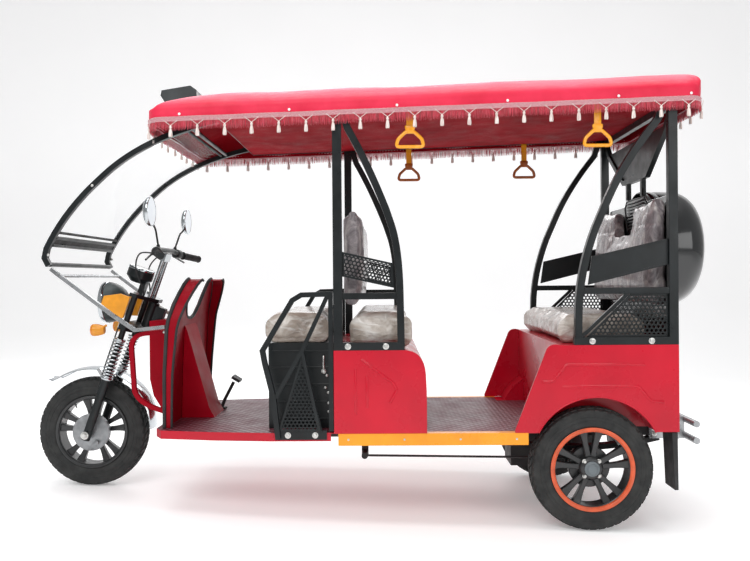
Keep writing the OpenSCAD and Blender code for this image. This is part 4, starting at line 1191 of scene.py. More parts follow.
g.make("handlebar.dial", "gloss_black", STEER, True, "black_plastic", 40)

# head lamp
g = Geo()
hc, hx = P(2043, 0, 905), MR @ Vector((1, 0, 0))
g.lathe(hc, hx, [(0.010, -0.062), (0.028, -0.0615), (0.040, -0.058), (0.058, -0.046), (0.074, -0.028), (0.086, -0.006), (0.0915, 0.014), (0.0925, 0.028), (0.0925, 0.040), (0.070, 0.040)], 64)
bowl = g.make("headlight.bowl", "lamp_shell", STEER, True, "black_plastic", 40)
g = Geo()
g.lathe(hc, hx, [(0.0925, 0.026), (0.0950, 0.028), (0.0950, 0.034), (0.0940, 0.041), (0.0905, 0.0475), (0.0870, 0.0490), (0.0850, 0.0470), (0.0850, 0.040), (0.0900, 0.030)], 64, closed=True)
bez = g.make("headlight.bezel", "chrome", STEER, True, "bright_pipe", 40)
g = Geo()
g.lathe(hc, hx, [(0.0850, 0.040), (0.0850, 0.043), (0.0760, 0.0468), (0.0580, 0.0497), (0.0320, 0.0514), (0.002, 0.0520)], 64)
lens = g.make("headlight.lens", "lens", STEER, True, "clear_sheet", 60)
for o in (bowl, bez, lens):
    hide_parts("headlight")

# lamp ears and indicators
g = Geo()
for s in (1, -1):
    out = [(16, 540), (16, 640), (60, 640), (128, 606), (128, 560), (60, 528)]
    vs = []
    for y in (110, 105.0):
        vs += [F(x, s * (y - 1), z) for x, z in out]
    n = len(out)
    fs = [tuple(range(n)), tuple(range(2 * n - 1, n - 1, -1))] + [(i, i + n, (i + 1) % n + n, (i + 1) % n) for i in range(n)]
    g.add(vs, fs)
    # turned flange on the ear's rear edge
    vs = [F(16, s * 109, 542), F(16, s * 109, 638), F(20, s * 109, 638), F(20, s * 109, 542), F(16, s * 90, 542), F(16, s * 90, 638), F(20, s * 90, 638), F(20, s * 90, 542)]
    g.box(vs)
ears = g.make("front_lamps.ears", "bracket", STEER, False, "amber_lens")
bv = ears.modifiers.new("bevel", "BEVEL")
bv.width, bv.segments, bv.limit_method = 0.004, 3, "ANGLE"
g = Geo()
for s in (1, -1):
    g.lathe(P(2040, s * 142, 788), hx, [(0.006, -0.001), (0.016, 0.000), (0.0205, 0.008), (0.0255, 0.028), (0.0268, 0.040), (0.0268, 0.045), (0.020, 0.046)], 36)
    g.tube([P(2044, s * 110, 806), P(2050, s * 124, 800), P(2058, s * 142, 792)], 0.0052, 12)
hous = g.make("front_lamps.housings", "bracket", STEER, True, "black_plastic", 40)
g = Geo()
for s in (1, -1):
    g.lathe(P(2040, s * 142, 788), hx, [(0.0262, 0.0435), (0.0266, 0.050), (0.0240, 0.0555), (0.0170, 0.0588), (0.0090, 0.0598), (0.001, 0.0600)], 36)
    for rr, hh in ((0.0245, 0.0552), (0.0180, 0.0586)):
        pass
ambr = g.make("front_lamps.lenses", "amber", STEER, True, "amber_lens", 60)
for o in (ears, hous, ambr):
    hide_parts("front_lamps")

# mirrors
g, gm, gg = Geo(), Geo(), Geo()
for s in (1, -1):
    a, b, c, d = Vector((1803.4, s * 133.5, 1151)), Vector((1796, s * 196, 1222)), Vector((1790, s * 292, 1262)), Vector((1796, s * 300, 1282))
    pts = [a, a.lerp(b, 0.5), a.lerp(b, 0.85), b + Vector((0, s * 6, 3)), b.lerp(c, 0.2), b.lerp(c, 0.6), c]
    g.tube([P(*p) for p in pts], 0.0044, 12)
    g.lathe(P(*a), MR @ (b - a).normalized(), [(0.0046, -0.004), (0.0085, -0.003), (0.0085, 0.007), (0.0046, 0.008)], 6, closed=False)
    m, ax2 = P(1792, s * 300, 1290), MR @ Vector((1, 0, 0))
    gm.lathe(m, ax2, [(0.0560, -0.0100), (0.0575, -0.0118), (0.0600, -0.0120), (0.0618, -0.0095), (0.0620, -0.0040), (0.0605, 0.0010), (0.0560, 0.0070), (0.0470, 0.0125), (0.0330, 0.0165), (0.0170, 0.0180), (0.002, 0.0185)], 56)
    gg.lathe(m, ax2, [(0.0568, -0.0106), (0.0565, -0.0096), (0.002, -0.0084)][::-1] if False else [(0.0570, -0.0092), (0.0568, -0.0112), (0.0400, -0.0119), (0.0200, -0.0123), (0.002, -0.0124)], 56)
for gx, nm, mt, sl in ((g, "stalks", "plastic", "black_plastic"), (gm, "shells", "chrome", "bright_pipe"), (gg, "glass", "mirror", "mirror_glass")):
    o = gx.make("mirrors." + nm, mt, STEER, True, sl, 40)
    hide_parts("mirrors")


# mudguard: crowned blade with rolled edges, flat stays
def mudguard():
    ring = []
    cx, cz = WB, R + DROP
    path = [((2326, 566), None), ((2318, 563), None)]
    pts = [(2326.0, 566.0), (2309.0, 559.0)]
    for i in range(1, 61):
        a = math.radians(58 + 90 * i / 60)
        pts.append((cx + 287 * math.cos(a), cz + 287 * math.sin(a)))
    for t in (0.33, 0.66, 1.0):
        pts.append((pts[61][0] + (1872 - pts[61][0]) * t, pts[61][1] + (420 - pts[61][1]) * t))
    for t in (0.5, 1.0):
        pts.append((1872 - 6 * t, 420 - 85 * t))
    secs = []
    cross = [(-58, -5.6), (-58.6, -3.2), (-57.4, -1.6), (-55.0, -1.6), (-50, -0.2), (-40, 1.9), (-26, 3.8), (-12, 4.8), (0, 5.1), (12, 4.8), (26, 3.8), (40, 1.9), (50, -0.2), (55, -1.6), (57.4, -1.6), (58.6, -3.2), (58, -5.6),
             (56.4, -5.0), (56.6, -3.6), (54.6, -3.2), (49, -1.9), (39, 0.3), (25, 2.2), (11, 3.2), (0, 3.5), (-11, 3.2), (-25, 2.2), (-39, 0.3), (-49, -1.9), (-54.6, -3.2), (-56.6, -3.6), (-56.4, -5.0)]
    vs = []
    n = len(pts)
    for i, (x, z) in enumerate(pts):
        a, b = Vector(pts[max(0, i - 1)]), Vector(pts[min(n - 1, i + 1)])
        t = (b - a).normalized()
        nn = Vector((-t.y, t.x))
        if i < 62 and nn.dot(Vector((x - cx, z - cz))) < 0 or i >= 62 and nn.x > 0:
            nn = -nn
        w = 1.0 if 2 < i < n - 2 else 0.86 if i in (0, n - 1) else 0.96
        vs += [P(x + nn.x * h, y * w, z + nn.y * h) for y, h in cross]
    m = len(cross)
    g = Geo()
    g.add(vs, [(i * m + k, i * m + (k + 1) % m, (i + 1) * m + (k + 1) % m, (i + 1) * m + k) for i in range(n - 1) for k in range(m)] + [tuple(range(m)), tuple((n - 1) * m + k for k in range(m))[::-1]])
    a = g.make("front_mudguard.blade", "chrome", STEER, True, "bright_pipe", 60)
    g = Geo()
    for s in (1, -1):
        for p, q, hw in (((2060, 538), (2102, 609), 7), ((2052, 560), (2032, 612), 8)):
            p, q = Vector(p), Vector(q)
            t = (q - p).normalized()
            nn = Vector((-t.y, t.x)) * hw
            o = [p - nn, q - nn, q + nn, p + nn]
            g.box([P(v.x, s * 56.5, v.y) for v in o] + [P(v.x, s * 60.5, v.y) for v in o])
        for x, z, y1 in ((2062, 541, 75), (2048, 588, 70)):
            g.lathe(P(x, s * 57, z), MR @ Vector((0, s, 0)), [(0.002, 0), (0.0085, 0.0), (0.0085, (y1 - 58) / 1000), (0.002, (y1 - 57) / 1000)], 16)
    b = g.make("front_mudguard.stays", "zinc", STEER, False, "bright_pipe")
    bv = b.modifiers.new("bevel", "BEVEL")
    bv.width, bv.segments, bv.limit_method = 0.0012, 2, "ANGLE"
    for o in (a, b):
        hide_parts("front_mudguard")


mudguard()


# ================================================================== hanging handles
def sweep_oval(g, pts, a, b, yaxis, seg=14, mi=0, closed=True):
    """closed loop of oval section: a in the loop's plane, b across it"""
    n = len(pts)
    vs = []
    for i, p in enumerate(pts):
        t = (pts[(i + 1) % n] - pts[i - 1]).normalized()
        s = t.cross(yaxis).normalized()
        for k in range(seg):
            c = 2 * math.pi * k / seg
            vs.append(p + s * (a * math.cos(c)) + yaxis * (b * math.sin(c)))
    fs = [(i * seg + k, i * seg + (k + 1) % seg, ((i + 1) % n) * seg + (k + 1) % seg, ((i + 1) % n) * seg + k) for i in range(n) for k in range(seg)]
    g.add(vs, fs, mi)


def round_loop(corners, steps=8):
    """corners are (x, z, radius); a closed loop with rounded corners"""
    out = []
    n = len(corners)
    for i in range(n):
        p0, p1, p2 = Vector(corners[i - 1][:2]), Vector(corners[i][:2]), Vector(corners[(i + 1) % n][:2])
        r = corners[i][2]
        a, b = (p0 - p1).normalized(), (p2 - p1).normalized()
        half = a.angle(b) / 2
        d = min(r / math.tan(half), (p0 - p1).length * 0.49, (p2 - p1).length * 0.49)
        s, e = p1 + a * d, p1 + b * d
        for k in range(steps + 1):
            t = k / steps
            out.append((1 - t) ** 2 * s + 2 * t * (1 - t) * p1 + t * t * e)
    return out


def handles():
    gy, go, gs = Geo(), Geo(), Geo()
    for g, x, y, top, low in ((gy, 709, 462, rim_z(723) + 4, 1514), (gy, -28, 462, rim_z(-14) + 4, 1512), (go, 685, -462, rim_z(699) + 4, 1500), (go, 96, -462, rim_z(110) + 4, 1508)):
        loop = round_loop([(-55, 7.5, 22), (-47, 38, 30), (-17, 66, 14), (17, 66, 14), (47, 38, 30), (55, 7.5, 22)])
        pts = [P(x + q.x, y, low + q.y) for q in loop]
        sweep_oval(g, pts, 0.0072, 0.0066, MR @ Vector((0, 1, 0)))
        # the neck that takes the strap
        vs = []
        for z, w, d in ((62, 15, 5.6), (68, 17, 6.3), (80, 20, 6.5), (88, 21, 6.2), (92, 17, 4.6)):
            for k in range(20):
                c = 2 * math.pi * k / 20
                cc, ss = math.cos(c), math.sin(c)
                vs.append(P(x + w * (abs(cc) ** 0.6) * (1 if cc > 0 else -1), y + d * (abs(ss) ** 0.6) * (1 if ss > 0 else -1), low + z))
        g.add(vs, [(j * 20 + k, j * 20 + (k + 1) % 20, (j + 1) * 20 + (k + 1) % 20, (j + 1) * 20 + k) for j in range(4) for k in range(20)] + [tuple(range(20))[::-1], tuple(80 + k for k in range(20))])
        # strap: doubled webbing
        for yy in (-1.75, 0.35):
            prof = [(-13.5, 0), (13.5, 0), (13.5, 1.4), (-13.5, 1.4)]
            zs = [low + 84 + (top - low - 84) * t / 6 for t in range(7)]
            vs = [P(x + px, y + yy + py + 0.25 * math.sin(z * 0.09), z) for z in zs for px, py in prof]
            gs.add(vs, [(j * 4 + k, j * 4 + (k + 1) % 4, (j + 1) * 4 + (k + 1) % 4, (j + 1) * 4 + k) for j in range(6) for k in range(4)] + [(0, 1, 2, 3), (27, 26, 25, 24)])
    a = gy.make("grab_handles.near", "handle", ROOT, True, "handle_plastic", 50)
    # the far handles take the darker copy of the yellow: painted shade
    b = go.make("grab_handles.far", "handle2", ROOT, True, "handle_plastic", 50)
    c = gs.make("grab_handles.straps", "handle", ROOT, True, "handle_plastic", 40)
    for o in (a, b, c):
        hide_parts("grab_handles")


handles()


# ================================================================== spare wheel and its cover
def spare():
    tune("spare_wheel", "tyre", 0.001)
    c, ax = P(-337, 0, 1130), MR @ Vector((-1, 0, 0))
    prof = [(0.2480, 0.0), (0.2530, 0.0), (0.2530, 0.004), (0.2512, 0.0055), (0.2512, 0.012), (0.2528, 0.0135)]
    prof += [(0.2528, 0.040), (0.2514, 0.0425), (0.2514, 0.0475), (0.2528, 0.050), (0.2530, 0.096)]
    for i in range(1, 17):
        a = math.radians(90 * i / 17)
        prof.append((0.150 + 0.103 * math.cos(a), 0.122 + 0.103 * math.sin(a)))
    prof += [(0.1500, 0.2250), (0.1440, 0.2262), (0.1400, 0.2240), (0.1360, 0.2262), (0.1180, 0.2280), (0.0900, 0.2296), (0.0600, 0.2306), (0.0300, 0.2309), (0.001, 0.2310)]
    inner = [(0.001, 0.2275), (0.150, 0.2225)] + [(0.150 + 0.0995 * math.cos(math.radians(90 * (1 - i / 8))), 0.122 + 0.0995 * math.sin(math.radians(90 * (1 - i / 8)))) for i in range(9)] + [(0.2480, 0.096)]
    g = Geo()
    g.lathe(c, ax, prof + inner, 96, closed=True)
    o = g.make("spare_cover.shell", "gloss_black", ROOT, True, "black_plastic", 50)
    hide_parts("spare_cover")


spare()


# ================================================================== details on the kept pieces
def pressings():
    """raised swage lines pressed in the red sides, and the folded edges"""
    g = Geo()

    def swage(pts, s, y=480.0, w=6.0, h=4.6):
        n = len(pts)
        vs = []
        for i, (x, z) in enumerate(pts):
            a, b = Vector(pts[max(0, i - 1)]), Vector(pts[min(n - 1, i + 1)])
            t = (b - a).normalized()
            m = Vector((-t.y, t.x))
            e = 0.15 if i in (0, n - 1) else 1.0
            for o, hh in ((-w, -0.4), (-w * 0.62, h * 0.55), (-w * 0.22, h * 0.97), (w * 0.22, h * 0.97), (w * 0.62, h * 0.55), (w, -0.4)):
                vs.append(P(x + m.x * o, s * (y + hh * e), z + m.y * o))
        g.add(vs, [(i * 6 + k, i * 6 + k + 1, (i + 1) * 6 + k + 1, (i + 1) * 6 + k) for i in range(n - 1) for k in range(5)])

    def fine(pts, r=10):
        """rounds the corners of an open line"""
        out = [Vector(pts[0])]
        for i in range(1, len(pts) - 1):
            p0, p1, p2 = Vector(pts[i - 1]), Vector(pts[i]), Vector(pts[i + 1])
            a, b = (p0 - p1), (p2 - p1)
            d = min(r, a.length * 0.45, b.length * 0.45)
            s, e = p1 + a.normalized() * d, p1 + b.normalized() * d
            for k in range(6):
                t = k / 5
                out.append((1 - t) ** 2 * s + 2 * t * (1 - t) * p1 + t * t * e)
        out.append(Vector(pts[-1]))
        # even steps near the ends for the taper
        return [(v.x, v.y) for v in [out[0]] + [out[0].lerp(out[1], 0.03)] + out[1:-1] + [out[-1].lerp(out[-2], 0.03)] + [out[-1]]]

    for s in (1, -1):
        for line in SWAGES:
            swage(fine(line), s)
    o = g.make("pressed_lines", "red", ROOT, True, "red_steel", 80)
    # sheet edges round the arch
    g = Geo()
    for s in (1, -1):
        pts = []
        for i in range(45):
            a = math.radians(27.5 + 125 * i / 44)
            pts.append(P(-14 + 258.0 * math.cos(a), s * 478.6, 275 + 258.0 * math.sin(a)))
        g.tube(pts, 0.0034, 10)
    o2 = g.make("arch_edges", "red", ROOT, True, "red_steel", 80)


SWAGES = [
    # middle box: two uprights and the arrow
    [(930.5, 649), (930.5, 469)],
    [(885.5, 622), (885.5, 496)],
    [(910, 688), (783, 594), (768, 566), (796, 515)],
    # rear box: the upper line and the lower one round the arch
    [(201, 594), (160, 594), (105, 660), (-201, 660)],
    [(123, 574), (-177, 574), (-225, 515), (-273, 513)],
]
pressings()


def bolts():
    g = Geo()
    for s in (1, -1):
        for x, z in ((959, 737), (810, 737), (3, 752), (-228, 752)):
            g.hexbolt(P(x, s * 480.0, z), MR @ Vector((0, s, 0)), 0.0085, 0.006)
        for x, z in ((1200, 386), (1092, 386)):
            g.hexbolt(P(x, s * 461.0, z), MR @ Vector((0, s, 0)), 0.0085, 0.006)
        # windscreen clamp bolts, cowl guard bolts, shield rivets
        for x, z in ((2186, 1110), (2004, 1392)):
            g.dome(P(x, s * 368.0, z), MR @ Vector((0, s, 0)), 0.006, 0.004)
        for x, z in ((1726, 464), (1724, 790)):
            g.dome(P(x, s * 334.0, z), MR @ Vector((0, s, 0)), 0.0055, 0.0035)
        # bolts that hold the side rails and their brackets below the floor
        for x in (300, 520, 740, 960):
            g.dome(P(x, s * 478.0, 371), MR @ Vector((0, s, 0)), 0.0045, 0.002)
        # roof rail bolts at the pillar heads
        for x in (990, -326):
            g.dome(P(x + 8, s * 480.0, rim_z(x) - 26), MR @ Vector((0, s, 0)), 0.0065, 0.004)
        # bumper bracket bolts
        for x, z in ((-300, 352), (-300, 372)):
            g.hexbolt(P(x, s * 290.0, z), MR @ Vector((0, s, 0)), 0.0075, 0.006)
        # axle U-bolts and nuts over the springs
        for x in (-30, 30):
            for y in (237, 273):
                g.tube([P(x, s * y, 215), P(x, s * y, 283)], 0.005, 10)
                g.hexbolt(P(x, s * y, 279), MR @ Vector((0, 0, 1)), 0.009, 0.008)
    g.make("bolts", "bolt", ROOT, True, "bright_pipe", 30)


bolts()


def louvres():
    """pressed louvres in the black head panel behind the rear seat"""
    g = Geo()
    for i in range(9):
        z = 1222 + i * 14.2
        hw = 84 + (z - 1214) * (176 - 118) / 186.0 - (6 if i == 8 else 0)
        vs = []
        for y in (-hw, -hw + 7, hw - 7, hw):
            e = 0.1 if abs(y) == hw else 1.0
            for dx, dz in ((0.0, 9.0), (4.2 * e, 7.6), (8.6 * e, 1.6), (8.8 * e, 0.2), (7.4 * e, -0.4), (0.0, 5.0)):
                vs.append(P(-321.9 + dx, y, z + dz))
        g.add(vs, [(j * 6 + k, j * 6 + (k + 1) % 6, (j + 1) * 6 + (k + 1) % 6, (j + 1) * 6 + k) for j in range(3) for k in range(6)] + [tuple(range(6))[::-1], tuple(18 + k for k in range(6))])
    g.make("head_panel_louvres", "plastic", ROOT, True, "black_plastic", 50)
    # a rim bead round the head panel
    g = Geo()
    g.tube([P(-322, s, z) for s, z in ((-118, 1212), (-150, 1322), (-122, 1352), (122, 1352), (150, 1322), (118, 1212))], 0.0042, 8)
    g.make("head_panel_bead", "plastic", ROOT, True, "black_plastic", 60)


louvres()


def headliner():
    """dark red lining stretched under the roof bars; its dark red is painted shade"""
    nx, ny = 96, 40
    vs = []
    X0, X1, Y = -330.0, 1482.0, 447.0
    bars = [-316, 348, 998, 1468]
    for i in range(nx + 1):
        x = X0 + (X1 - X0) * i / nx
        k = max(j for j in range(3) if bars[j] <= max(x, bars[0]))
        t = min(max((x - bars[k]) / (bars[k + 1] - bars[k]), 0), 1)
        for j in range(ny + 1):
            y = -Y + 2 * Y * j / ny
            sag = 9.0 * math.sin(math.pi * t) ** 2 * (1 - (abs(y) / Y) ** 4)
            w = 1.6 * noise.noise(Vector((x * 0.008, y * 0.011, 9.0))) * (1 - (abs(y) / Y) ** 6)
            vs.append(P(x, y, rim_z(x) + 2.6 - sag + min(0.6, w)))
    f = [(i * (ny + 1) + j, (i + 1) * (ny + 1) + j, (i + 1) * (ny + 1) + j + 1, i * (ny + 1) + j + 1) for i in range(nx) for j in range(ny)]
    me = bpy.data.meshes.new("headlining")
    me.from_pydata(vs, [], f)
    me.update()
    bm = bmesh.new()
    bm.from_mesh(me)
    area = sum(q.calc_area() for q in bm.faces)
    bm.free()
    ob = bpy.data.objects.new("headlining", me)
    bpy.context.scene.collection.objects.link(ob)
    me.materials.append(MATS["shaded_liner"])
    so = ob.modifiers.new("thick", "SOLIDIFY")
    so.thickness, so.offset = 0.0012, 1
    apply_mods(ob)
    for p in ob.data.polygons:
        p.use_smooth = True
    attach(ob, ROOT)
    print("headlining area", round(area, 4))
    return ob


headliner()


def shield_trim():
    """black rubber beading and turned side flanges round the leg shields"""
    g, r = Geo(), Geo()

    def sx(z):
        pts = [(395, 1722), (620, 1716), (800, 1706), (840, 1702), (907, 1684), (1008, 1652)]
        for i in range(len(pts) - 1):
            if z <= pts[i + 1][0]:
                t = (z - pts[i][0]) / (pts[i + 1][0] - pts[i][0])
                return pts[i][1] + t * (pts[i + 1][1] - pts[i][1])
        return pts[-1][1]

    for s in (1, -1):
        out = [(352, 397), (360, 510), (368, 620), (367, 710), (366, 800), (352, 852), (330, 905), (298, 950), (262, 985), (238, 999), (214, 1008), (190, 1003), (168, 992), (143, 945), (118, 890), (92, 862), (64, 842), (34, 834), (4, 831)]
        fl = []
        for i in range(len(out) - 1):
            a, b = out[i], out[i + 1]
            for k in range(3):
                t = k / 3
                fl.append((a[0] + (b[0] - a[0]) * t, a[1] + (b[1] - a[1]) * t))
        fl.append(out[-1])
        g.tube([P(sx(z) - 1, s * y, z) for y, z in fl], 0.0078, 12)
        # a deep flange turned rearward down the outer side and over the lobe
        side_pts = [q for q in fl if q[0] > 176 and not (q[0] < 214 and q[1] < 1000)]
        vs, n = [], len(side_pts)
        edge = []
        for i, (y, z) in enumerate(side_pts):
            a, b = Vector(side_pts[max(0, i - 1)]), Vector(side_pts[min(n - 1, i + 1)])
            t = (b - a).normalized()
            m = Vector((-t.y, t.x)) if Vector((-t.y, t.x)).dot(Vector((180 - y, 760 - z))) > 0 else Vector((t.y, -t.x))
            u = i / (n - 1)
            d = 30 + 30 * math.sin(math.pi * min(1, u * 1.15) / 2) ** 2
            for dx, k in ((5, 1.0), (-d, 1.0), (-d, 4.5), (5, 4.5)):
                vs.append(P(sx(z) + dx, s * (y + m.x * k), z + m.y * k))
            edge.append(P(sx(z) - d, s * (y + m.x * 2.7), z + m.y * 2.7))
        r.add(vs, [(i * 4 + k, i * 4 + (k + 1) % 4, (i + 1) * 4 + (k + 1) % 4, (i + 1) * 4 + k) for i in range(n - 1) for k in range(4)] + [(0, 1, 2, 3), (n * 4 - 1, n * 4 - 2, n * 4 - 3, n * 4 - 4)])
        g.tube(edge, 0.0052, 10)
    g.make("leg_shields.beading", "rubber", ROOT, True, "flap_rubber", 60)
    r.make("leg_shields.flanges", "red_dark", ROOT, True, "red_steel", 30)


shield_trim()


def steering_trim():
    """cables, fork caps, yoke bolts, and drum plate details"""
    def cable(name, pts, n=33):
        """a sheathed control cable, fixed at both ends, smooth through its points"""
        pts, cur = [Vector(p) for p in pts], []
        for i in range(n):
            t = i / (n - 1) * (len(pts) - 1)
            k = min(int(t), len(pts) - 2)
            u = t - k
            p0, p1, p2, p3 = pts[max(0, k - 1)], pts[k], pts[k + 1], pts[min(len(pts) - 1, k + 2)]
            cur.append(0.5 * ((2 * p1) + (p2 - p0) * u + (2 * p0 - 5 * p1 + 4 * p2 - p3) * u * u + (3 * p1 - p0 - 3 * p2 + p3) * u ** 3))
        g = Geo()
        g.tube(cur, 0.0034, 12)
        o = g.make(name, "rubber", STEER, True, "black_plastic", 60)

    for s, nm in ((1, "left"), (-1, "right")):
        cable("handlebar.cable_" + nm, [P(*q) for q in ((1818, s * 170, 1122), (1880, s * 150, 1120), (1915, s * 96, 1060), (1898, s * 52, 960), (1893, s * 38, 900))])
    # brake cable down the left leg to the drum arm
    cable("fork.brake_cable", [F(26, 92, 520), F(27, 90, 420), F(27, 88, 300), F(24, 84, 200), F(21, 76, 130), F(28, 68, 84)])
    g = Geo()
    for s in (1, -1):
        g.lathe(F(0, s * 95, 646), FR @ Vector((0, 0, 1)), [(0.002, 0.014), (0.0115, 0.014), (0.0125, 0.018), (0.0120, 0.021), (0.002, 0.022)], 6)
        for z in (498, 508):
            g.hexbolt(F(20, s * 100, z), FR @ Vector((1, 0, 0)), 0.006, 0.005, washer=False)
        # axle nuts
        g.hexbolt(P(WB, s * 128, 323), MR @ Vector((0, s, 0)), 0.012, 0.010)
    # handlebar clamp bolts
    for s in (1, -1):
        for xx in (-54, -36):
            g.hexbolt(F(xx, s * 30, 868), FR @ Vector((0, 0, 1)), 0.0055, 0.005, washer=False)
    g.make("fork.fixings", "bolt", STEER, True, "bright_pipe", 30)
    # drum plate: rim, boss and brake arm
    g = Geo()
    ax = MR @ Vector((0, 1, 0))
    g.lathe(P(WB, 52.2, 323), ax, [(0.082, -0.004), (0.0832, 0.0), (0.080, 0.0022), (0.074, 0.0016), (0.050, 0.0030), (0.040, 0.0065), (0.0205, 0.0080)], 64, closed=False)
    g.lathe(P(WB - 30, 52.2, 323 - 44), ax, [(0.002, 0), (0.0100, 0.001), (0.0100, 0.014), (0.0085, 0.0165), (0.002, 0.017)], 20)
    q = [(-34, -50), (-24, -38), (12, -74), (6, -82)]
    g.box([P(WB + x, 62, 323 + z) for x, z in q] + [P(WB + x, 66, 323 + z) for x, z in q])
    o = g.make("fork.drum_plate", "alloy", STEER, True, "bright_pipe", 30)


steering_trim()


def body_trim():
    # windscreen gasket along the lower edge and along the top edge
    g = Geo()
    g.tube([P(2154, y, 1203) for y in (-338, -200, 0, 200, 338)], 0.006, 10)
    g.tube([P(1624, y, 1621) for y in (-338, -200, 0, 200, 338)], 0.006, 10)
    g.make("windscreen.gasket", "rubber", ROOT, True, "flap_rubber", 60)
    # closing strip between the two lower cross bars of the windscreen frame
    g = Geo()
    a, b, w = (2184.5, 1147), (2163.5, 1188), Vector((0.89, 0.456)) * 3
    q = [(a[0] - w.x, a[1] - w.y), (b[0] - w.x, b[1] - w.y), (b[0] + w.x, b[1] + w.y), (a[0] + w.x, a[1] + w.y)]
    g.box([P(x, -345.5, z) for x, z in q] + [P(x, 345.5, z) for x, z in q])
    o = g.make("windscreen_frame.strip", "rubber", ROOT, False, "black_steel")
    b = o.modifiers.new("bevel", "BEVEL")
    b.width, b.segments, b.limit_method = 0.0016, 3, "ANGLE"
    # dark blank front pane of the roof lamp in a thin rim
    g, gr = Geo(), Geo()
    n = Vector((0.842, -0.539))
    for gg, h, (x0, z0), (x1, z1), y in ((gr, 2.6, (1800.5, 1826), (1769.5, 1777.5), 88), (g, 3.6, (1797.5, 1821.2), (1772.5, 1782), 80)):
        q = [(x0 - n.x * 3, z0 - n.y * 3), (x1 - n.x * 3, z1 - n.y * 3), (x1 + n.x * h, z1 + n.y * h), (x0 + n.x * h, z0 + n.y * h)]
        gg.box([P(x, -y, z) for x, z in q] + [P(x, y, z) for x, z in q])
    for gg, nm, mt in ((gr, "rim", "lamp_shell"), (g, "pane", "gloss_black")):
        o = gg.make("roof_lamp." + nm, mt, ROOT, False, "black_plastic")
        b = o.modifiers.new("bevel", "BEVEL")
        b.width, b.segments, b.limit_method = 0.0012, 3, "ANGLE"
    # wheel arch liners carried forward from the rear seat box down to the floor
    g = Geo()
    for s in (1, -1):
        n, vs = 22, []
        arc = [math.radians(60 - 33 * i / (n - 1)) for i in range(n)]
        for a in arc:
            for r in (263.5, 267.5):
                for y in (342, 467):
                    vs.append(P(-14 + r * math.cos(a), s * y, 275 + r * math.sin(a)))
        fs = []
        for i in range(n - 1):
            for q in ((0, 1, 3, 2),):
                for k in range(4):
                    fs.append((i * 4 + q[k], i * 4 + q[(k + 1) % 4], (i + 1) * 4 + q[(k + 1) % 4], (i + 1) * 4 + q[k]))
        g.add(vs, fs + [(0, 1, 3, 2), (n * 4 - 4, n * 4 - 3, n * 4 - 1, n * 4 - 2)])
        ring = [(-14 + 266 * math.cos(a), 275 + 266 * math.sin(a)) for a in arc if 275 + 266 * math.sin(a) > 395]
        poly = [(122, 394)] + [(122, ring[0][1])] + ring + [(ring[-1][0] + 0.5, 394)]
        m = len(poly)
        vs = [P(x, s * 340, z) for x, z in poly] + [P(x, s * 345, z) for x, z in poly]
        g.add(vs, [tuple(range(m)), tuple(range(2 * m - 1, m - 1, -1))] + [(i, (i + 1) % m, (i + 1) % m + m, i + m) for i in range(m)])
        # its foot, out to the edge of the floor
        q = [(217, 390.6), (270, 390.6), (270, 394.8), (217, 394.8)]
        g.box([P(x, s * 339, z) for x, z in q] + [P(x, s * 467, z) for x, z in q])
    g.make("rear_seat_box.arch_liners", "red", ROOT, True, "red_steel", 30)
    # slotted side panels of the driver's box: battery and tool box door with a latch
    g = Geo()
    for s in (1, -1):
        y = s * 360
        for z0 in (430, 500, 570, 640, 706):
            q = [(1030, z0), (1276, z0), (1276, z0 + 8), (1030, z0 + 8)]
            g.box([P(x, y - s * 0.2, z) for x, z in q] + [P(x, y + s * 3.2, z) for x, z in q])
    o = g.make("driver_box.ribs", "black", ROOT, False, "black_steel")
    b = o.modifiers.new("bevel", "BEVEL")
    b.width, b.segments, b.limit_method = 0.0014, 2, "ANGLE"
    g = Geo()
    for s in (1, -1):
        y = s * 360
        g.tube([P(1064, y + s * 6, 690), P(1064, y + s * 12, 676), P(1064, y + s * 12, 650), P(1064, y + s * 6, 636)], 0.0045, 10)
        for z in (462, 498, 540, 560, 610):
            g.dome(P(1046 + (z % 3) * 6, y + s * 1, z), MR @ Vector((0, s, 0)), 0.006, 0.003)
        g.hexbolt(P(1064, y + s * 3, 628), MR @ Vector((0, s, 0)), 0.007, 0.006)
    g.make("driver_box.latches", "bolt", ROOT, True, "bright_pipe", 40)
    # pedal pad with ribs over the foot pedal
    g = Geo()
    for k in range(5):
        t = (k + 0.5) / 5
        x, z = 1500 + 34 * t, 520 + 22 * t
        n = Vector((-22, 0, 34)).normalized()
        q = []
        for yy in (-170, -100):
            for o, h in ((-2.2, 0), (2.2, 0), (1.4, 2.6), (-1.4, 2.6)):
                q.append(P(x + 0.84 * o + n.x * h, yy, z + 0.54 * o + n.z * h))
        g.box([q[0], q[1], q[2], q[3], q[4], q[5], q[6], q[7]])
    g.make("brake_pedal.ribs", "rubber", ROOT, False, "flap_rubber")
    # tail lamp bezels
    g = Geo()
    for s in (1, -1):
        for z, rr, d in ((640, 0.039, 0.024), (556, 0.031, 0.020)):
            g.lathe(P(-334, s * 372, z), MR @ Vector((-1, 0, 0)), [(rr, 0), (rr + 0.004, 0), (rr + 0.004, d * 0.62), (rr + 0.0015, d * 0.72), (rr, d * 0.72)], 40, closed=True)
    g.make("tail_lamps.bezels", "chrome", ROOT, True, "bright_pipe", 40)
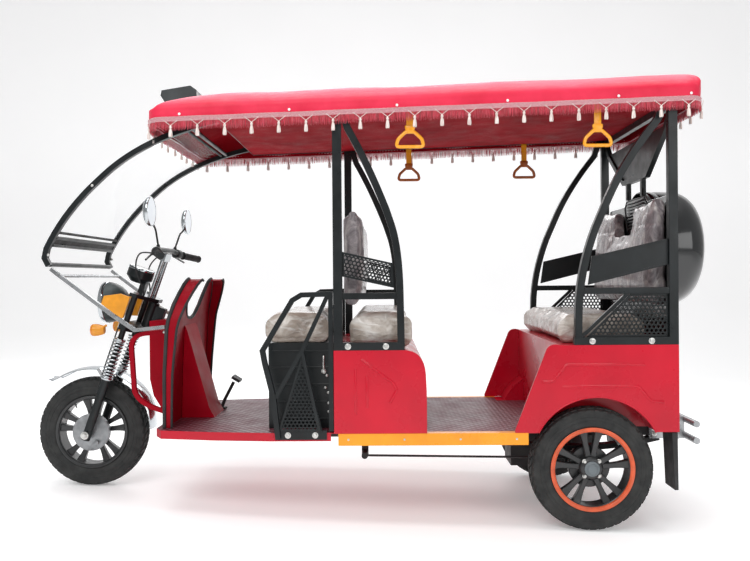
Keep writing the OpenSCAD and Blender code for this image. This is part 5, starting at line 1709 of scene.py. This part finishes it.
    # mud flap fixing strips
    g = Geo()
    for s in (1, -1):
        q = [(-331.5, 366), (-306, 366), (-307, 388), (-331.5, 388)]
        g.box([P(-334.2 - 1.2, s * y, z) for y, z in ((366, 366), (466, 366), (466, 384), (366, 384))] + [P(-331.5, s * y, z) for y, z in ((366, 366), (466, 366), (466, 384), (366, 384))])
        for y in (384, 416, 448):
            g.dome(P(-335.4, s * y, 375), MR @ Vector((-1, 0, 0)), 0.005, 0.003)
    g.make("mud_flaps.strips", "zinc", ROOT, True, "bright_pipe", 30)
    # number-free rear panel frame: a plain raised border
    g = Geo()
    g.tube([P(-327, y, z) for y, z in ((-150, 1456), (150, 1456), (296, 1556), (-296, 1556), (-150, 1456))], 0.004, 8)
    g.make("rear_panel.border", "plastic", ROOT, True, "black_plastic", 60)


body_trim()

# second materials on kept nodes
face_parts("floor_pan", lambda c, n: n.z < 0.6, "red")
face_parts("fork", lambda c, n: (FORK.inverted() @ c).z > 655, "chrome")
face_parts("fork", lambda c, n: (c - P(WB, 0, 323)).length < 0.1 and abs(c.y) < 0.078 and abs(c.y) > 0.0295, "alloy")


# ------------------------------------------------------------------ stage and light
def stage():
    bpy.context.scene.view_settings.view_transform = "Standard"
    me = bpy.data.meshes.new("studio_floor")
    s, n = 14.0, 24
    vs, fs = [], []
    prof = [(9.0, 0.0), (-4.5, 0.0)] + [(-4.5 - 2.5 * math.sin(a * math.pi / 2 / n), 2.5 - 2.5 * math.cos(a * math.pi / 2 / n)) for a in range(1, n + 1)] + [(-7.0, 9.0)]
    for y, z in prof:
        vs += [(-s, y, z), (s, y, z)]
    for i in range(len(prof) - 1):
        fs.append((2 * i, 2 * i + 1, 2 * i + 3, 2 * i + 2))
    me.from_pydata(vs, [], fs)
    me.materials.append(MATS["stage"])
    for p in me.polygons:
        p.use_smooth = True
    ob = bpy.data.objects.new("studio_floor", me)
    bpy.context.scene.collection.objects.link(ob)
    w = bpy.data.worlds.new("studio")
    bpy.context.scene.world = w
    w.use_nodes = True
    w.node_tree.nodes["Background"].inputs[0].default_value = (1, 1, 1, 1)
    w.node_tree.nodes["Background"].inputs[1].default_value = 0.42

    def area(name, loc, target, size, power, color=(1, 1, 1)):
        l = bpy.data.lights.new(name, "AREA")
        l.shape, l.size, l.size_y, l.energy, l.color = "RECTANGLE", size[0], size[1], power, color
        o = bpy.data.objects.new(name, l)
        o.location = loc
        o.rotation_euler = (Vector(target) - Vector(loc)).to_track_quat("-Z", "Y").to_euler()
        bpy.context.scene.collection.objects.link(o)

    area("key", (1.6, 4.6, 4.6), (0, 0, 0.8), (4.5, 2.4), 150)
    area("fill", (-3.2, 4.4, 2.2), (0, 0, 0.8), (3.0, 2.4), 45)
    area("top", (0, 0.2, 5.2), (0, 0, 0), (5.0, 3.0), 190)
    area("back", (0.6, -4.2, 3.4), (0, 0, 1.0), (4.0, 1.6), 70)


stage()
